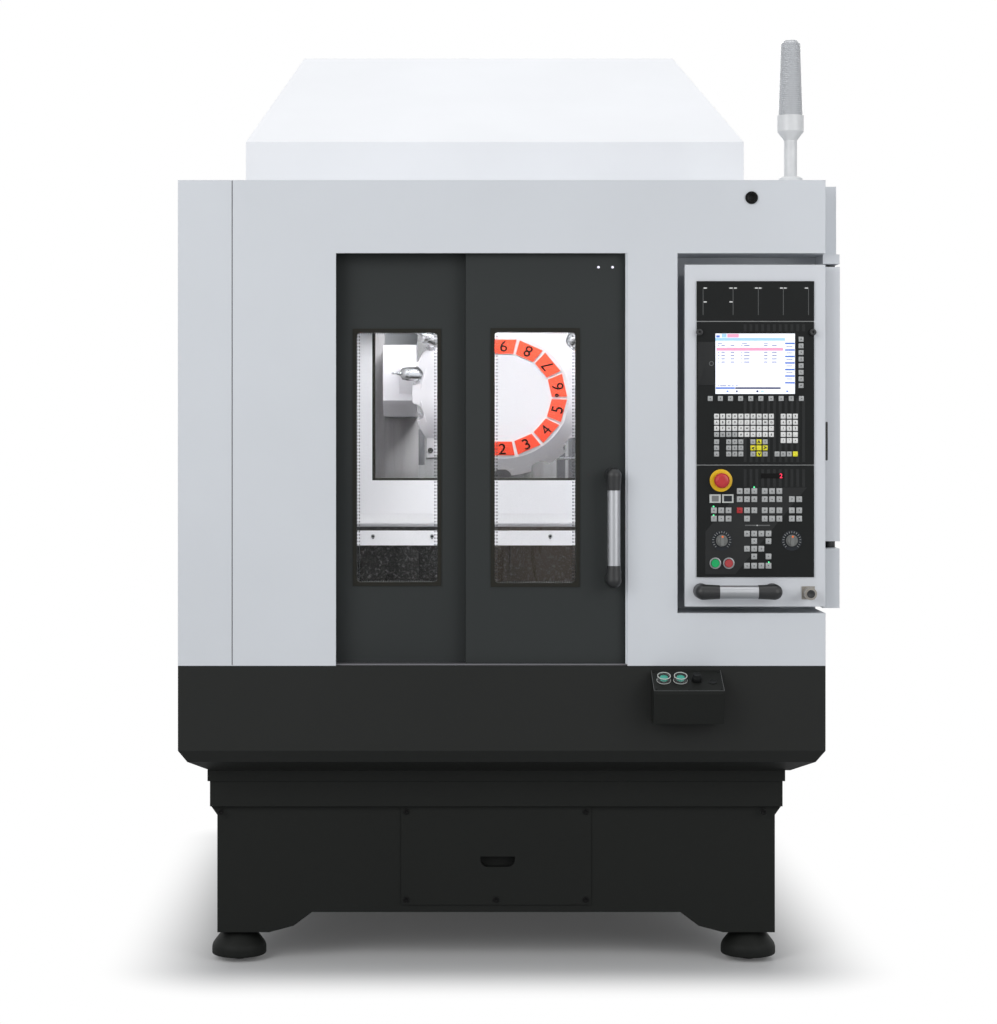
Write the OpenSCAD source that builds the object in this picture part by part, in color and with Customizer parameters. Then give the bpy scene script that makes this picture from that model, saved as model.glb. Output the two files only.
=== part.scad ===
// Compact vertical drilling and tapping centre with a tilted turret tool magazine.
// Millimetres, +Z up. The operator stands on the -Y side and +X is at their right hand.
// The origin lies on the floor at the middle of the machine's footprint.

/* [Enclosure] */
// Width of the fascia together with its corner panel
enclosure_w = 1684; // [1640:4:1760]
// Depth of the enclosure from the fascia to the electrical cabinet
enclosure_d = 1750; // [1740:5:1850]
// Thickness of the enclosure's sheet metal
sheet_t = 3; // [2:0.5:4]
// Width of the separate left corner panel
corner_w = 141; // [120:1:160]
// Depth of the corner panel's side wall
corner_d = 200; // [150:5:300]
// Depth of the top return of the fascia
top_return = 120; // [100:5:150]
// How far the shoulder box stands out at the right
shoulder_w = 56; // [48:1:64]
// Height of the shoulder box above the panel recess
shoulder_h = 190; // [175:1:205]
// Length of the shoulder box along the side
shoulder_d = 500; // [300:10:600]

/* [Hood] */
// Setback of the hood's front face behind the fascia
hood_setback = 660; // [600:10:700]
// Distance from the fascia's ends to the hood's side walls
hood_inset = 126; // [100:1:150]
// Height of the hood's upright front wall
hood_front_h = 179; // [150:1:200]
// Height of the hood's sloped part
hood_rise = 356; // [330:1:380]
// How far the sloped front leans back
hood_run = 738; // [700:2:760]
// How far each sloped side leans in
hood_side_run = 130; // [100:1:160]

/* [Base] */
// Height of the base above the floor
foot_h = 81; // [70:1:100]
// Height of the base body
base_h = 407; // [380:1:440]
// Width of the base over its upper band
base_w = 1525; // [1480:1:1560]
// Height of the base's upper band
band_h = 68; // [50:1:80]
// How far the upper band stands out
base_step = 18; // [12:1:24]
// Sideways offset of the base from the enclosure's middle
base_offset = -10; // [-20:1:0]
// Setback of the base behind the fascia
base_setback = 150; // [130:1:170]
// How far the base reaches behind the enclosure
base_tail = 400; // [300:10:450]
// Wall thickness of the base casting
base_wall = 40; // [30:1:50]
// Width of a leg seen from the front
leg_w = 138; // [120:1:160]
// Width of the slope from a leg to the arch
arch_run = 115; // [100:1:140]
// Height of the arch above the legs
arch_rise = 54; // [40:1:70]
// Thickness of the top flange
flange_h = 29; // [24:1:36]
// How far the top flange stands out
flange_lip = 6; // [4:1:10]
// Diameter of a foot's pad
foot_d = 145; // [120:1:160]
// Distance between the left and right feet
foot_spread = 1371; // [1340:1:1400]
// Distance from the base's ends to the feet
foot_inset = 80; // [75:1:120]
// Width of the access panel
hatch_w = 507; // [450:1:540]
// Height of the access panel
hatch_h = 263; // [230:1:280]
// Thickness of the access panel
hatch_t = 4; // [3:0.5:5]
// Width of the finger pull in the access panel
pull_w = 92; // [80:1:110]
// Height of the finger pull
pull_h = 28; // [22:1:34]

/* [Splash tray] */
// Height of the tray
tray_h = 292; // [270:1:320]
// Height of the tray's upright wall
tray_wall_h = 221; // [200:1:235]
// Thickness of the tray's plate
tray_t = 5; // [4:0.5:8]
// Inward run of the edge chamfer
tray_chamfer = 22; // [15:1:30]
// Drop of the edge chamfer
tray_chamfer_drop = 32; // [20:1:40]
// Total inward run of the underside at the sides
tray_run = 70; // [60:1:75]

/* [Doors] */
// Distance from the fascia's left end to the door opening
opening_left = 411; // [395:1:430]
// Width of the pillar between the door opening and the panel recess
pillar_w = 130; // [115:1:150]
// Height of the fascia above the door opening
lintel_h = 190; // [175:1:220]
// Distance from the opening's middle to the leaf split
split_offset = 41; // [25:1:55]
// How far the leaves overlap each other and the fascia
leaf_overlap = 30; // [20:1:35]
// Gap between the handle leaf and the jamb
jamb_gap = 4; // [2:0.5:6]
// Thickness of a door leaf
leaf_t = 30; // [24:1:32]
// Setback of the handle leaf behind the fascia's front
leaf_setback = 22; // [20:1:24]
// Air between the two leaves
leaf_air = 6; // [5:0.5:9]
// Width of the handle leaf's stile beside the glass
window_stile = 129; // [115:1:150]
// Height of the visible glass
window_h = 655; // [600:1:690]
// Height of the glass's lower edge above the tray
window_sill = 214; // [190:1:240]
// Distance from the left leaf's edge to its glass
left_window_in = 82; // [70:1:100]
// Distance from the handle leaf's edge to its glass
right_window_in = 75; // [60:1:90]
// Width of the window gasket's face
gasket_w = 10; // [7:0.5:12]
// Thickness of the glass
glass_t = 8; // [6:0.5:10]
// Corner radius of the glass
window_r = 10; // [6:1:14]

/* [Handles] */
// Length of the door handle
door_handle_l = 311; // [290:1:340]
// Length of the door handle's grip
door_grip_l = 195; // [170:1:210]
// Distance from the leaf's edge to the handle's axis
door_handle_in = 34; // [28:1:40]
// Height of the door handle's lower end above the tray
door_handle_z = 204; // [180:1:230]
// Length of the panel handle
panel_handle_l = 225; // [205:1:235]
// Length of the panel handle's grip
panel_grip_l = 100; // [90:1:120]
// Radius of the handles' end pieces
handle_r = 20; // [18:0.5:22]
// Radius of the handles' grips
grip_r = 17; // [14:0.5:18]
// Height of the grips' axis above the surface
grip_standoff = 50; // [46:1:56]

/* [Operator panel] */
// Width of the panel recess in the fascia
recess_w = 385; // [380:1:400]
// Gap between the panel's top and the recess
recess_over = 30; // [20:1:40]
// Gap between the panel's foot and the recess
recess_under = 17; // [12:1:25]
// Height of the recess floor above the tray
recess_z = 137; // [120:1:150]
// Depth of the panel recess
recess_d = 168; // [160:1:190]
// Width of the panel's front plate
panel_w = 365; // [355:1:370]
// Height of the panel's front plate
panel_h = 889; // [880:1:960]
// Thickness of the panel's front plate
panel_t = 25; // [20:1:30]
// Depth of the panel's housing behind the plate
panel_back_d = 110; // [95:1:115]
// Width of the units in the panel
unit_w = 305; // [300:1:315]
// Height of the blank unit
blank_h = 102; // [95:1:106]
// Height of the display unit
display_h = 370; // [365:1:374]
// Height of the control unit
control_h = 289; // [285:1:293]
// Gap between the units
unit_gap = 4; // [3:0.5:5]
// Distance from the plate's top to the first unit
units_top = 43; // [38:1:48]
// Thickness of the units' faces on the plate
unit_face_t = 4; // [3:0.5:6]
// Depth of the units behind the plate's front
unit_d = 70; // [50:1:90]
// Width of the screen
screen_w = 207; // [195:1:212]
// Height of the screen
screen_h = 157; // [150:1:160]
// Height of a key cap
key_t = 2.5; // [1.5:0.25:4]
// Width of a typing key
key_w = 13; // [11:0.5:14]
// Pitch of the typing keys
key_pitch = 15.8; // [15.2:0.1:16.2]
// Width of a machine key
machine_key_w = 15; // [13:0.5:17]
// Pitch of the machine keys
machine_key_pitch = 19; // [18:0.25:19.5]

/* [Push buttons and dials] */
// Radius of the emergency stop's ring
stop_ring_r = 28.5; // [26:0.5:30]
// Radius of the emergency stop's head
stop_head_r = 19.5; // [17:0.5:22]
// Radius of a round push button
button_r = 10.4; // [9:0.1:11.5]
// Radius of a round button's bezel
bezel_r = 14.8; // [13.5:0.1:16]
// Width of a lamp button
lamp_w = 29; // [26:0.5:30]
// Height of a lamp button
lamp_h = 22; // [19:0.5:24]
// Radius of a dial knob
dial_r = 15.3; // [13:0.1:17]
// Height of a dial knob
dial_h = 18; // [14:0.5:22]
// Radial clearance of a stem in its hole
stem_fit = 0.05; // [0.02:0.01:0.09]
// Gap between parts that move past each other
run_gap = 0.3; // [0.2:0.05:0.5]
// Travel of a push button
button_travel = 3; // [2:0.25:4]

/* [Control box] */
// Width of the control box
box_w = 181; // [175:1:195]
// How far the control box stands out of the tray
box_reach = 87; // [80:1:95]
// Distance from the fascia's right end to the control box
box_right = 273; // [260:1:290]
// Drop of the sloped top of the control box
box_drop = 44; // [36:1:52]
// Height of the control box at the tray
box_h = 131; // [120:1:145]

/* [Turret] */
// Number of tool places
tool_places = 14; // [12:1:14]
// Lean of the turret's axis below the horizontal
turret_tilt = 23.8; // [20:0.2:26]
// Radius of the turret's scalloped rim
turret_r = 261; // [250:1:268]
// Radius of the turret's flat front
turret_face_r = 192; // [188:1:198]
// Inner radius of the ring of number tiles
tile_inner_r = 140; // [130:1:146]
// Outer radius of the ring of number tiles
tile_outer_r = 184; // [176:1:187]
// Depth of the turret's middle under the roof
turret_under = 557; // [545:1:570]
// How far the turret's middle lies ahead of the spindle's axis
turret_ahead = 260; // [255:1:275]
// Sideways offset of the turret and spindle from the enclosure's middle
spindle_offset = 23; // [10:1:30]
// Radius of a tool holder's flange
holder_r = 23; // [21:0.5:24]

/* [Spindle and axes] */
// Share of the enclosure's depth that lies ahead of the spindle's axis
spindle_share = 0.52; // [0.515:0.001:0.53]
// Radius of the spindle's cartridge
cartridge_r = 58; // [50:1:62]
// Radius of the spindle shaft
shaft_r = 30; // [26:0.5:34]
// Depth of the spindle nose under the roof
nose_under = 742; // [705:1:760]
// Width of the spindle head
head_w = 210; // [200:1:230]
// Height of the spindle head's casting
head_h = 510; // [480:5:540]
// Width of the column
column_w = 500; // [460:5:540]
// Depth of the column
column_d = 370; // [330:5:380]
// Height of the bed
bed_h = 123; // [110:1:140]
// Width of a guide rail
rail_w = 40; // [30:1:45]
// Height of a guide rail
rail_h = 25; // [20:1:30]
// Air between a slide and the surface its rails stand on
slide_air = 5; // [3:0.5:8]
// Length of the work table
table_l = 650; // [600:5:680]
// Width of the work table
table_w = 380; // [360:2:390]
// Thickness of the work table
table_t = 90; // [80:1:100]
// Thickness of the saddle
saddle_t = 90; // [80:1:100]
// Width of a T-slot's neck
slot_w = 14; // [12:0.5:16]
// Pitch of the T-slots
slot_pitch = 120; // [100:1:125]

/* [Chamber] */
// Distance from the enclosure's side walls to the chamber walls
chamber_in = 224; // [200:1:240]
// Setback of the inner guard behind the fascia
guard_setback = 257; // [240:1:270]
// How much narrower the guard's window is than the door opening
guard_inset = 72; // [50:1:100]
// Height of the guard window's lower edge above the tray
guard_window_z = 477; // [460:1:490]
// Height of the guard's bend above the tray
guard_bend_z = 387; // [375:1:395]
// Height of the guard's lower edge above the tray
guard_lip_z = 351; // [345:1:360]
// Height of the screwed strip's lower edge above the tray
strip_z = 301; // [290:1:305]
// Height of the screwed strip
strip_h = 40; // [34:1:42]

/* [Electrical cabinet] */
// Depth of the electrical cabinet with its door
cabinet_d = 563; // [450:5:600]
// Width of the electrical cabinet
cabinet_w = 1224; // [1100:4:1300]
// Gap between the base and the electrical cabinet
cabinet_foot = 33; // [10:1:120]
// Thickness of the cabinet door
cabinet_door_t = 20; // [16:1:25]
// Radius of the cabinet's hinge barrels
barrel_r = 9; // [8:0.5:10]

/* [Signal tower] */
// Distance from the fascia's right end to the signal tower
tower_in = 82; // [70:1:95]
// Radius of the tower's pole
pole_r = 17; // [14:0.5:20]
// Height of the tower's stem with its collar
stem_h = 175; // [150:1:200]
// Height of the tower's lens
lens_h = 197; // [170:1:210]
// Radius of the lens at its foot
lens_r = 31.5; // [28:0.5:33]

/* [Hidden] */
$fn = 48;

// Reference planes of the enclosure
recess_h = panel_h + recess_over + recess_under;
fascia_h = recess_z + recess_h + shoulder_h;
left_x = -(enclosure_w + shoulder_w) / 2;
right_x = left_x + enclosure_w;
mid_x = (left_x + right_x) / 2;
front_y = (box_reach - enclosure_d - cabinet_d) / 2;
rear_y = front_y + enclosure_d;
base_top = foot_h + base_h;
tray_z = base_top + flange_h;
deck_z = tray_z + tray_h;
roof_z = deck_z + fascia_h;
hood_z = roof_z + hood_front_h;
hood_top = hood_z + hood_rise;

// Base outline
base_x = mid_x + base_offset;
base_front = front_y + base_setback;
base_rear = rear_y + base_tail;
base_mid_y = (base_front + base_rear) / 2;
band_z = base_top - band_h;
band_slope = base_step * 1.4;
arch_knee = [arch_run * 0.57, arch_rise * 0.32];
hatch_y = base_front + base_step;
hatch_z = band_z - hatch_h - 2;
pull_x = base_x + 4;
pull_z = hatch_z + hatch_h * 0.49;
pull_depth = 26;

// Splash tray outline
tray_lip_z = deck_z - tray_wall_h;
tray_front_run = base_setback - flange_lip;
well_x = [left_x + chamber_in, right_x - chamber_in];
well_y = [front_y + guard_setback + sheet_t, rear_y - 20];

// Spindle, column and table places
spindle_x = mid_x + spindle_offset;
spindle_y = front_y + enclosure_d * spindle_share;
nose_z = roof_z - nose_under;
column_gap = 50;
column_y = rear_y - column_gap - column_d;
column_x = [spindle_x - column_w / 2, spindle_x + column_w / 2];
column_rise = 250;
column_top = roof_z + column_rise;
rail_foot = 150;
rail_gap = 20;
head_rear = column_y - slide_air;
head_lift = 150;
head_z = nose_z + head_lift;
head_front = spindle_y - cartridge_r - 4;
head_rail_pitch = 130;
bed_top = tray_z + bed_h;
bed_setback = 480;
bed_front = front_y + bed_setback;
saddle_z = bed_top + slide_air;
saddle_top = saddle_z + saddle_t;
saddle_w = column_w + 10;
saddle_edge = 20;
saddle_l = table_w + 2 * saddle_edge;
table_z = saddle_top + slide_air;
table_top = table_z + table_t;
bed_rail_pitch = 320;
saddle_rail_pitch = 220;
groove = rail_h - slide_air + run_gap;
slot_neck = 13;
slot_wide_w = slot_w + 9;
slot_wide_h = 10;

// Doors
opening_h = fascia_h - lintel_h;
opening_w = enclosure_w - opening_left - pillar_w - recess_w;
leaf_split = opening_w / 2 - split_offset;
opening_x = [left_x + opening_left, left_x + opening_left + opening_w];
opening_top = deck_z + opening_h;
right_leaf_x = [opening_x[0] + leaf_split, opening_x[1] - jamb_gap];
left_leaf_x = [opening_x[0] - leaf_overlap, right_leaf_x[0] + leaf_overlap];
right_leaf_y = front_y + leaf_setback;
left_leaf_y = right_leaf_y + leaf_t + leaf_air;
sill_t = 3.7;
leaf_z = [deck_z + sill_t + run_gap, opening_top + leaf_overlap];
hanger_w = 10;
hanger_h = 19;
rail_bottom = leaf_z[1] + run_gap;
rail_top = rail_bottom + 34;
rail_x = [left_x + sheet_t, opening_x[1] + 6];
window_z = deck_z + window_sill;
gasket_proud = 3;
left_window_x = left_leaf_x[0] + left_window_in;
right_window_x = right_leaf_x[0] + right_window_in;
window_w = right_leaf_x[1] - window_stile - right_window_x;
door_handle_x = right_leaf_x[1] - door_handle_in;
door_handle_low = deck_z + door_handle_z;

// Operator panel
recess_x = right_x - recess_w;
recess_low = deck_z + recess_z;
recess_high = recess_low + recess_h;
panel_x = right_x - 0.5 - panel_w;
panel_z = recess_low + recess_under;
unit_x = panel_x + (panel_w - unit_w) / 2;
blank_z = panel_z + panel_h - units_top - blank_h;
display_z = blank_z - unit_gap - display_h;
control_z = display_z - unit_gap - control_h;
cutout_in = 6;
unit_fit = 1;
unit_face_y = front_y - unit_face_t;
panel_handle_z = panel_z + 41;
panel_handle_x = unit_x - 9 + panel_handle_l / 2;
socket_x = panel_x + panel_w - 45;
socket_z = panel_z + 36;
wing_w = shoulder_w - 12;
wing_x = [right_x + 0.5, right_x + wing_w];
wing_y = [front_y + 40, front_y + panel_t + panel_back_d];
wing_foot = 168;
wing_z = [panel_z + wing_foot, panel_z + panel_h - 3];
hinge_x = right_x + 26;
hinge_y = front_y + recess_d - 58;
hinge_pin_r = 8;
hinge_pin_l = 45;
bracket_low_top = wing_z[0] - 19;
bracket_y = [front_y + 45, front_y + recess_d + 90];

// Control unit layout, measured from the unit's lower left corner
stop_at = [63, control_h - 38];
start_at = [48, 36];
halt_at = [83, 36];
lamp_at = [[47.5, control_h - 85], [80.5, control_h - 85]];
feed_at = [65, 95];
speed_at = [247, 95];
stem_r = 5;
stem_l = 20;
stop_stem_r = 11;
readout = [60, 14];
readout_at = [196, control_h - 27];
machine_groups = [44.5, 111.5, 176.5, 247];
machine_rows = [control_h - 65.5, control_h - 86.5, control_h - 115.5, control_h - 137];
jog_at = [130.5, 113];
jog_pitch = 18.6;
jog_rows = [0, 19.5, 39.2, 59.3, 83.4];

// Display unit layout, measured from the unit's lower left corner
screen_at = [48.5, display_h - 30 - screen_h];
letters_at = [51.5, display_h - 245];
digits_at = [224.5, display_h - 245];
cursor_at = [146, 58.5];
edit_at = [83, 58.5];
soft_side_at = [271, display_h - 45];
soft_side_pitch = 17.2;
soft_low_at = [35, display_h - 199];
soft_low_pitch = 26.3;

// Control box
box_x = [right_x - box_right - box_w, right_x - box_right];
box_top = deck_z - 12;
box_slope = atan2(box_drop, box_reach);
box_face = norm([box_drop, box_reach]);
box_button_at = [29, 72];
box_selector_at = 114;

// Turret places, measured in the turret's own tilted frame
turret_y = spindle_y - turret_ahead;
turret_z = roof_z - turret_under;
turret_wall = 12;
turret_cone = 30;
grip_at = [turret_r - 26, -50];
scallop_r = holder_r + 7;
groove_r = holder_r - 3.3;
groove_s = [7, 13];
hub_r = 60;
hub_back = -110;
turret_shaft_r = 30;
turret_shaft_l = 62;
loaded_places = [7, 11, 12];
arm_box_w = 97;
arm_box_z = [turret_z - 6, turret_z + 157];
tile_t = 1.5;
tile_share = 0.88;

// Electrical cabinet
cabinet_x = [mid_x - cabinet_w / 2, mid_x + cabinet_w / 2];
cabinet_under = 22;
cabinet_z = [tray_z + cabinet_foot, roof_z - cabinet_under];
cabinet_h = cabinet_z[1] - cabinet_z[0];
cabinet_rear = rear_y + cabinet_d;
cabinet_seal = 3;
cabinet_open_y = cabinet_rear - cabinet_door_t - cabinet_seal;
cabinet_hinge_x = cabinet_x[1] + barrel_r + 1.5;
cabinet_hinge_y = cabinet_rear - cabinet_door_t / 2;
cabinet_hinge_z = [cabinet_z[0] + 200, cabinet_z[1] - 300];
barrel_h = 60;
switch_y = rear_y + 300;
switch_up = 950;
switch_z = cabinet_z[0] + switch_up;
switch_r = 30;

// Chamber
guard_y = front_y + guard_setback;
guard_window_w = opening_w - guard_inset;
guard_window_x = [mid_x - guard_window_w / 2, mid_x + guard_window_w / 2];
guard_slot_x = [guard_window_x[0] - 44, guard_window_x[1] + 44];
guard_top = roof_z - 72;
strip_screw_pitch = 160;

// Signal tower
tower_x = right_x - tower_in;
tower_y = front_y + 60;

// A box between two corners, given as ranges along X, Y and Z
module block(x, y, z) {
    translate([x[0], y[0], z[0]])
        cube([x[1] - x[0], y[1] - y[0], z[1] - z[0]]);
}

// A profile in Y and Z, drawn out along a range of X
module along_x(x, points) {
    translate([x[0], 0, 0])
        rotate([90, 0, 90])
            linear_extrude(x[1] - x[0])
                polygon(points);
}

// A profile in X and Z, drawn out along a range of Y
module along_y(y, points) {
    translate([0, y[1], 0])
        rotate([90, 0, 0])
            linear_extrude(y[1] - y[0])
                polygon(points);
}

// A bar along Y with a rectangular section of round corners
module round_bar(x, y, z, r) {
    block([x[0] + r, x[1] - r], y, z);
    block(x, y, [z[0] + r, z[1] - r]);
    for (cx = [x[0] + r, x[1] - r], cz = [z[0] + r, z[1] - r])
        translate([cx, y[1], cz])
            rotate([90, 0, 0])
                cylinder(r = r, h = y[1] - y[0]);
}

// A cylinder along Y that starts at the given depth and runs towards the operator
module front_pin(x, y, z, r, l) {
    translate([x, y, z])
        rotate([90, 0, 0])
            cylinder(r = r, h = l);
}

// Outline of the base between two limits: legs, arch, band and the slope under the band
function base_outline(low, high, slope) = [
    [low + base_step, foot_h], [low + base_step + leg_w, foot_h],
    [low + base_step + leg_w + arch_knee[0], foot_h + arch_knee[1]],
    [low + base_step + leg_w + arch_run, foot_h + arch_rise],
    [high - base_step - leg_w - arch_run, foot_h + arch_rise],
    [high - base_step - leg_w - arch_knee[0], foot_h + arch_knee[1]],
    [high - base_step - leg_w, foot_h], [high - base_step, foot_h],
    [high - base_step, band_z - slope], [high, band_z],
    [high, base_top], [low, base_top],
    [low, band_z], [low + base_step, band_z - slope]
];

base_span_x = [base_x - base_w / 2, base_x + base_w / 2];
base_span_y = [base_front, base_rear];
base_inner = base_step + base_wall;

module base_frame() {
    color("#17181a")
    difference() {
        union() {
            intersection() {
                along_y(base_span_y, base_outline(base_span_x[0], base_span_x[1], band_slope));
                along_x(base_span_x, base_outline(base_span_y[0], base_span_y[1], 0));
            }
            block(
                [base_span_x[0] - flange_lip, base_span_x[1] + flange_lip],
                [base_span_y[0] - flange_lip, base_span_y[1] + flange_lip],
                [base_top, tray_z]);
        }
        for (bay = [0, 1])
            block(
                [base_span_x[0] + base_inner + bay * (base_w / 2 - base_inner + base_wall / 2),
                 base_x - base_wall / 2 + bay * (base_w / 2 - base_inner + base_wall / 2)],
                [base_front + base_inner, base_rear - base_inner],
                [foot_h - 1, base_top - base_wall]);
        pull_shape([hatch_y - 1, hatch_y + pull_depth]);
    }
}

// The half-round pocket of the finger pull
module pull_shape(y) {
    intersection() {
        round_bar(
            [pull_x - pull_w / 2, pull_x + pull_w / 2], y,
            [pull_z - pull_h, pull_z + pull_h], pull_h * 0.7);
        block([pull_x - pull_w, pull_x + pull_w], y, [pull_z - pull_h, pull_z]);
    }
}

module levelling_foot() {
    nub_r = 16;
    nub_h = 13;
    pad_h = 34;
    nut_h = 20;
    stem = 14;
    rotate_extrude()
        polygon([
            [0, 0], [nub_r, 0],
            [nub_r, nub_h], [foot_d / 2 - 4, nub_h],
            [foot_d / 2, nub_h + 5], [foot_d / 2, nub_h + 14],
            [foot_d / 4, pad_h], [stem + 8, pad_h + 6],
            [stem, pad_h + 6], [stem, foot_h],
            [0, foot_h]
        ]);
    translate([0, 0, foot_h - nut_h])
        cylinder(r = stem * 1.8, h = nut_h, $fn = 6);
}

module levelling_feet() {
    color("#101113")
    for (side = [-1, 1], y = [base_front + foot_inset, base_rear - foot_inset])
        translate([base_x + base_offset * 0.5 + side * foot_spread / 2, y, 0])
            levelling_foot();
}

module base_access_panel() {
    color("#1b1c1e")
    difference() {
        block(
            [base_x - hatch_w / 2, base_x + hatch_w / 2], [hatch_y - hatch_t, hatch_y],
            [hatch_z, hatch_z + hatch_h]);
        pull_shape([hatch_y - hatch_t - 1, hatch_y + 1]);
    }
}

// Outline of the tray between two side limits, set in by a wall
function tray_outline(low, high, run, wall, top) = [
    [low + wall, top], [low + wall, tray_lip_z + wall / 2],
    [low + tray_chamfer + wall, tray_lip_z - tray_chamfer_drop + wall / 2],
    [low + run + wall, tray_z + wall], [high - run - wall, tray_z + wall],
    [high - tray_chamfer - wall, tray_lip_z - tray_chamfer_drop + wall / 2],
    [high - wall, tray_lip_z + wall / 2], [high - wall, top]
];

module tray_solid(wall, top) {
    intersection() {
        along_y([front_y + wall, rear_y - wall], tray_outline(left_x, right_x, tray_run, wall, top));
        along_x([left_x + wall, right_x - wall], tray_outline(front_y, rear_y, tray_front_run, wall, top));
    }
}

module splash_tray() {
    color("#161719")
    difference() {
        tray_solid(0, deck_z);
        tray_solid(tray_t, deck_z - tray_t);
        block(well_x, well_y, [deck_z - tray_t - 1, deck_z + 1]);
        block(
            [column_x[0] - 1, column_x[1] + 1], [bed_front - 1, column_y + column_d + 1],
            [tray_z - 1, tray_lip_z]);
    }
}

module bed() {
    color("#4b4e52")
    difference() {
        union() {
            block(column_x, [bed_front, column_y], [tray_z, bed_top]);
            for (side = [-1, 1])
                translate([spindle_x + side * bed_rail_pitch / 2 - rail_w / 2, bed_front, bed_top])
                    cube([rail_w, column_y - bed_front - rail_gap, rail_h]);
        }
        block(
            [spindle_x - bed_rail_pitch / 2 + rail_w, spindle_x + bed_rail_pitch / 2 - rail_w],
            [bed_front + base_wall, column_y - base_wall],
            [bed_top - bed_h / 2, bed_top + 1]);
    }
}

module column() {
    column_wall = 55;
    color("#6a6d70")
    difference() {
        union() {
            block(column_x, [column_y, column_y + column_d], [tray_z, column_top]);
            for (side = [-1, 1])
                translate([
                    spindle_x + side * head_rail_pitch / 2 - rail_w / 2,
                    column_y - rail_h,
                    table_top + rail_foot
                ])
                    cube([rail_w, rail_h + 1, column_top - table_top - rail_foot - rail_gap]);
        }
        block(
            [column_x[0] + column_wall, column_x[1] - column_wall],
            [column_y + column_wall, column_y + column_d + 1],
            [tray_z + column_wall, column_top - column_wall]);
    }
}

module corner_panel() {
    color("#d9dbdf") {
        block([left_x, left_x + corner_w], [front_y, front_y + sheet_t], [deck_z, roof_z]);
        block([left_x, left_x + sheet_t], [front_y, front_y + corner_d], [deck_z, roof_z]);
        block([left_x, left_x + corner_w], [front_y, front_y + top_return], [roof_z - sheet_t, roof_z]);
    }
}

module front_fascia() {
    seam_x = left_x + corner_w;
    plug_r = 14.6;
    color("#d9dbdf")
    difference() {
        union() {
            block([seam_x, right_x], [front_y, front_y + sheet_t], [deck_z, roof_z]);
            block([seam_x, right_x], [front_y, front_y + top_return], [roof_z - sheet_t, roof_z]);
            block([right_x - sheet_t, right_x], [front_y, front_y + recess_d], [deck_z, roof_z]);
            block(
                [recess_x - sheet_t, right_x], [front_y, front_y + recess_d],
                [recess_low - sheet_t, recess_high + sheet_t]);
        }
        block([recess_x, right_x + 1], [front_y - 1, front_y + recess_d - sheet_t], [recess_low, recess_high]);
        block(opening_x, [front_y - 1, front_y + sheet_t + 1], [deck_z - 1, opening_top]);
        front_pin(recess_x + recess_w / 2, front_y + sheet_t + 1, roof_z - 46, plug_r, sheet_t + 2);
    }
}

module left_side_panel() {
    color("#d3d5d9") {
        block([left_x, left_x + sheet_t], [front_y + corner_d, rear_y], [deck_z, roof_z]);
        block([left_x, cabinet_x[0] + 40], [rear_y - sheet_t, rear_y], [deck_z, roof_z]);
    }
}

module right_side_panel() {
    shoulder_y = [front_y + recess_d, front_y + recess_d + shoulder_d];
    color("#d3d5d9")
    difference() {
        union() {
            block([right_x - sheet_t, right_x], [front_y + recess_d, rear_y], [deck_z, roof_z]);
            block([cabinet_x[1] - 40, right_x], [rear_y - sheet_t, rear_y], [deck_z, roof_z]);
            block([right_x - sheet_t, right_x + shoulder_w], shoulder_y, [recess_high, roof_z]);
        }
        block(
            [right_x - sheet_t - 1, right_x + shoulder_w - sheet_t],
            [shoulder_y[0] + sheet_t, shoulder_y[1] - sheet_t],
            [recess_high + sheet_t, roof_z - sheet_t]);
    }
}

module roof_panel() {
    hood_rim = 40;
    color("#d3d5d9")
    difference() {
        block(
            [left_x + sheet_t, right_x - sheet_t], [front_y + top_return, rear_y - sheet_t],
            [roof_z - sheet_t, roof_z]);
        block(
            [left_x + hood_inset + hood_rim, right_x - hood_inset - hood_rim],
            [front_y + hood_setback + hood_rim, rear_y - hood_rim],
            [roof_z - sheet_t - 1, roof_z + 1]);
    }
}

// The hood's form, set in by a wall
module hood_solid(wall, low) {
    side = [left_x + hood_inset + wall, right_x - hood_inset - wall];
    depth = [front_y + hood_setback + wall, rear_y - wall];
    intersection() {
        along_y(depth, [
            [side[0], low], [side[1], low],
            [side[1], hood_z - wall], [side[1] - hood_side_run, hood_top - wall],
            [side[0] + hood_side_run, hood_top - wall], [side[0], hood_z - wall]
        ]);
        along_x(side, [
            [depth[0], low], [depth[1], low],
            [depth[1], hood_top - wall], [depth[0] + hood_run, hood_top - wall],
            [depth[0], hood_z - wall]
        ]);
    }
}

module top_hood() {
    color("#eceef0")
    difference() {
        hood_solid(0, roof_z);
        hood_solid(sheet_t, roof_z - 1);
    }
}

module signal_tower_stem() {
    flange_r = 31;
    flange_t = 14;
    collar_r = lens_r + 3;
    collar_h = 42;
    color("#e6e7e9")
    translate([tower_x, tower_y, roof_z])
        rotate_extrude()
            polygon([
                [0, 0], [flange_r, 0],
                [flange_r, flange_t - 4], [flange_r - 6, flange_t],
                [pole_r, flange_t], [pole_r, stem_h - collar_h - 23],
                [collar_r, stem_h - collar_h], [collar_r, stem_h],
                [0, stem_h]
            ]);
}

module signal_tower_lens() {
    tip_r = lens_r * 0.8;
    lens_wall = 3;
    color("#e9eef2", 0.6)
    translate([tower_x, tower_y, roof_z + stem_h])
        rotate_extrude()
            polygon([
                [lens_r - lens_wall, 0], [lens_r, 0],
                [tip_r, lens_h - 9], [tip_r - 8, lens_h],
                [0, lens_h], [0, lens_h - lens_wall],
                [tip_r - 9, lens_h - lens_wall], [tip_r - lens_wall, lens_h - 10]
            ]);
}

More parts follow.
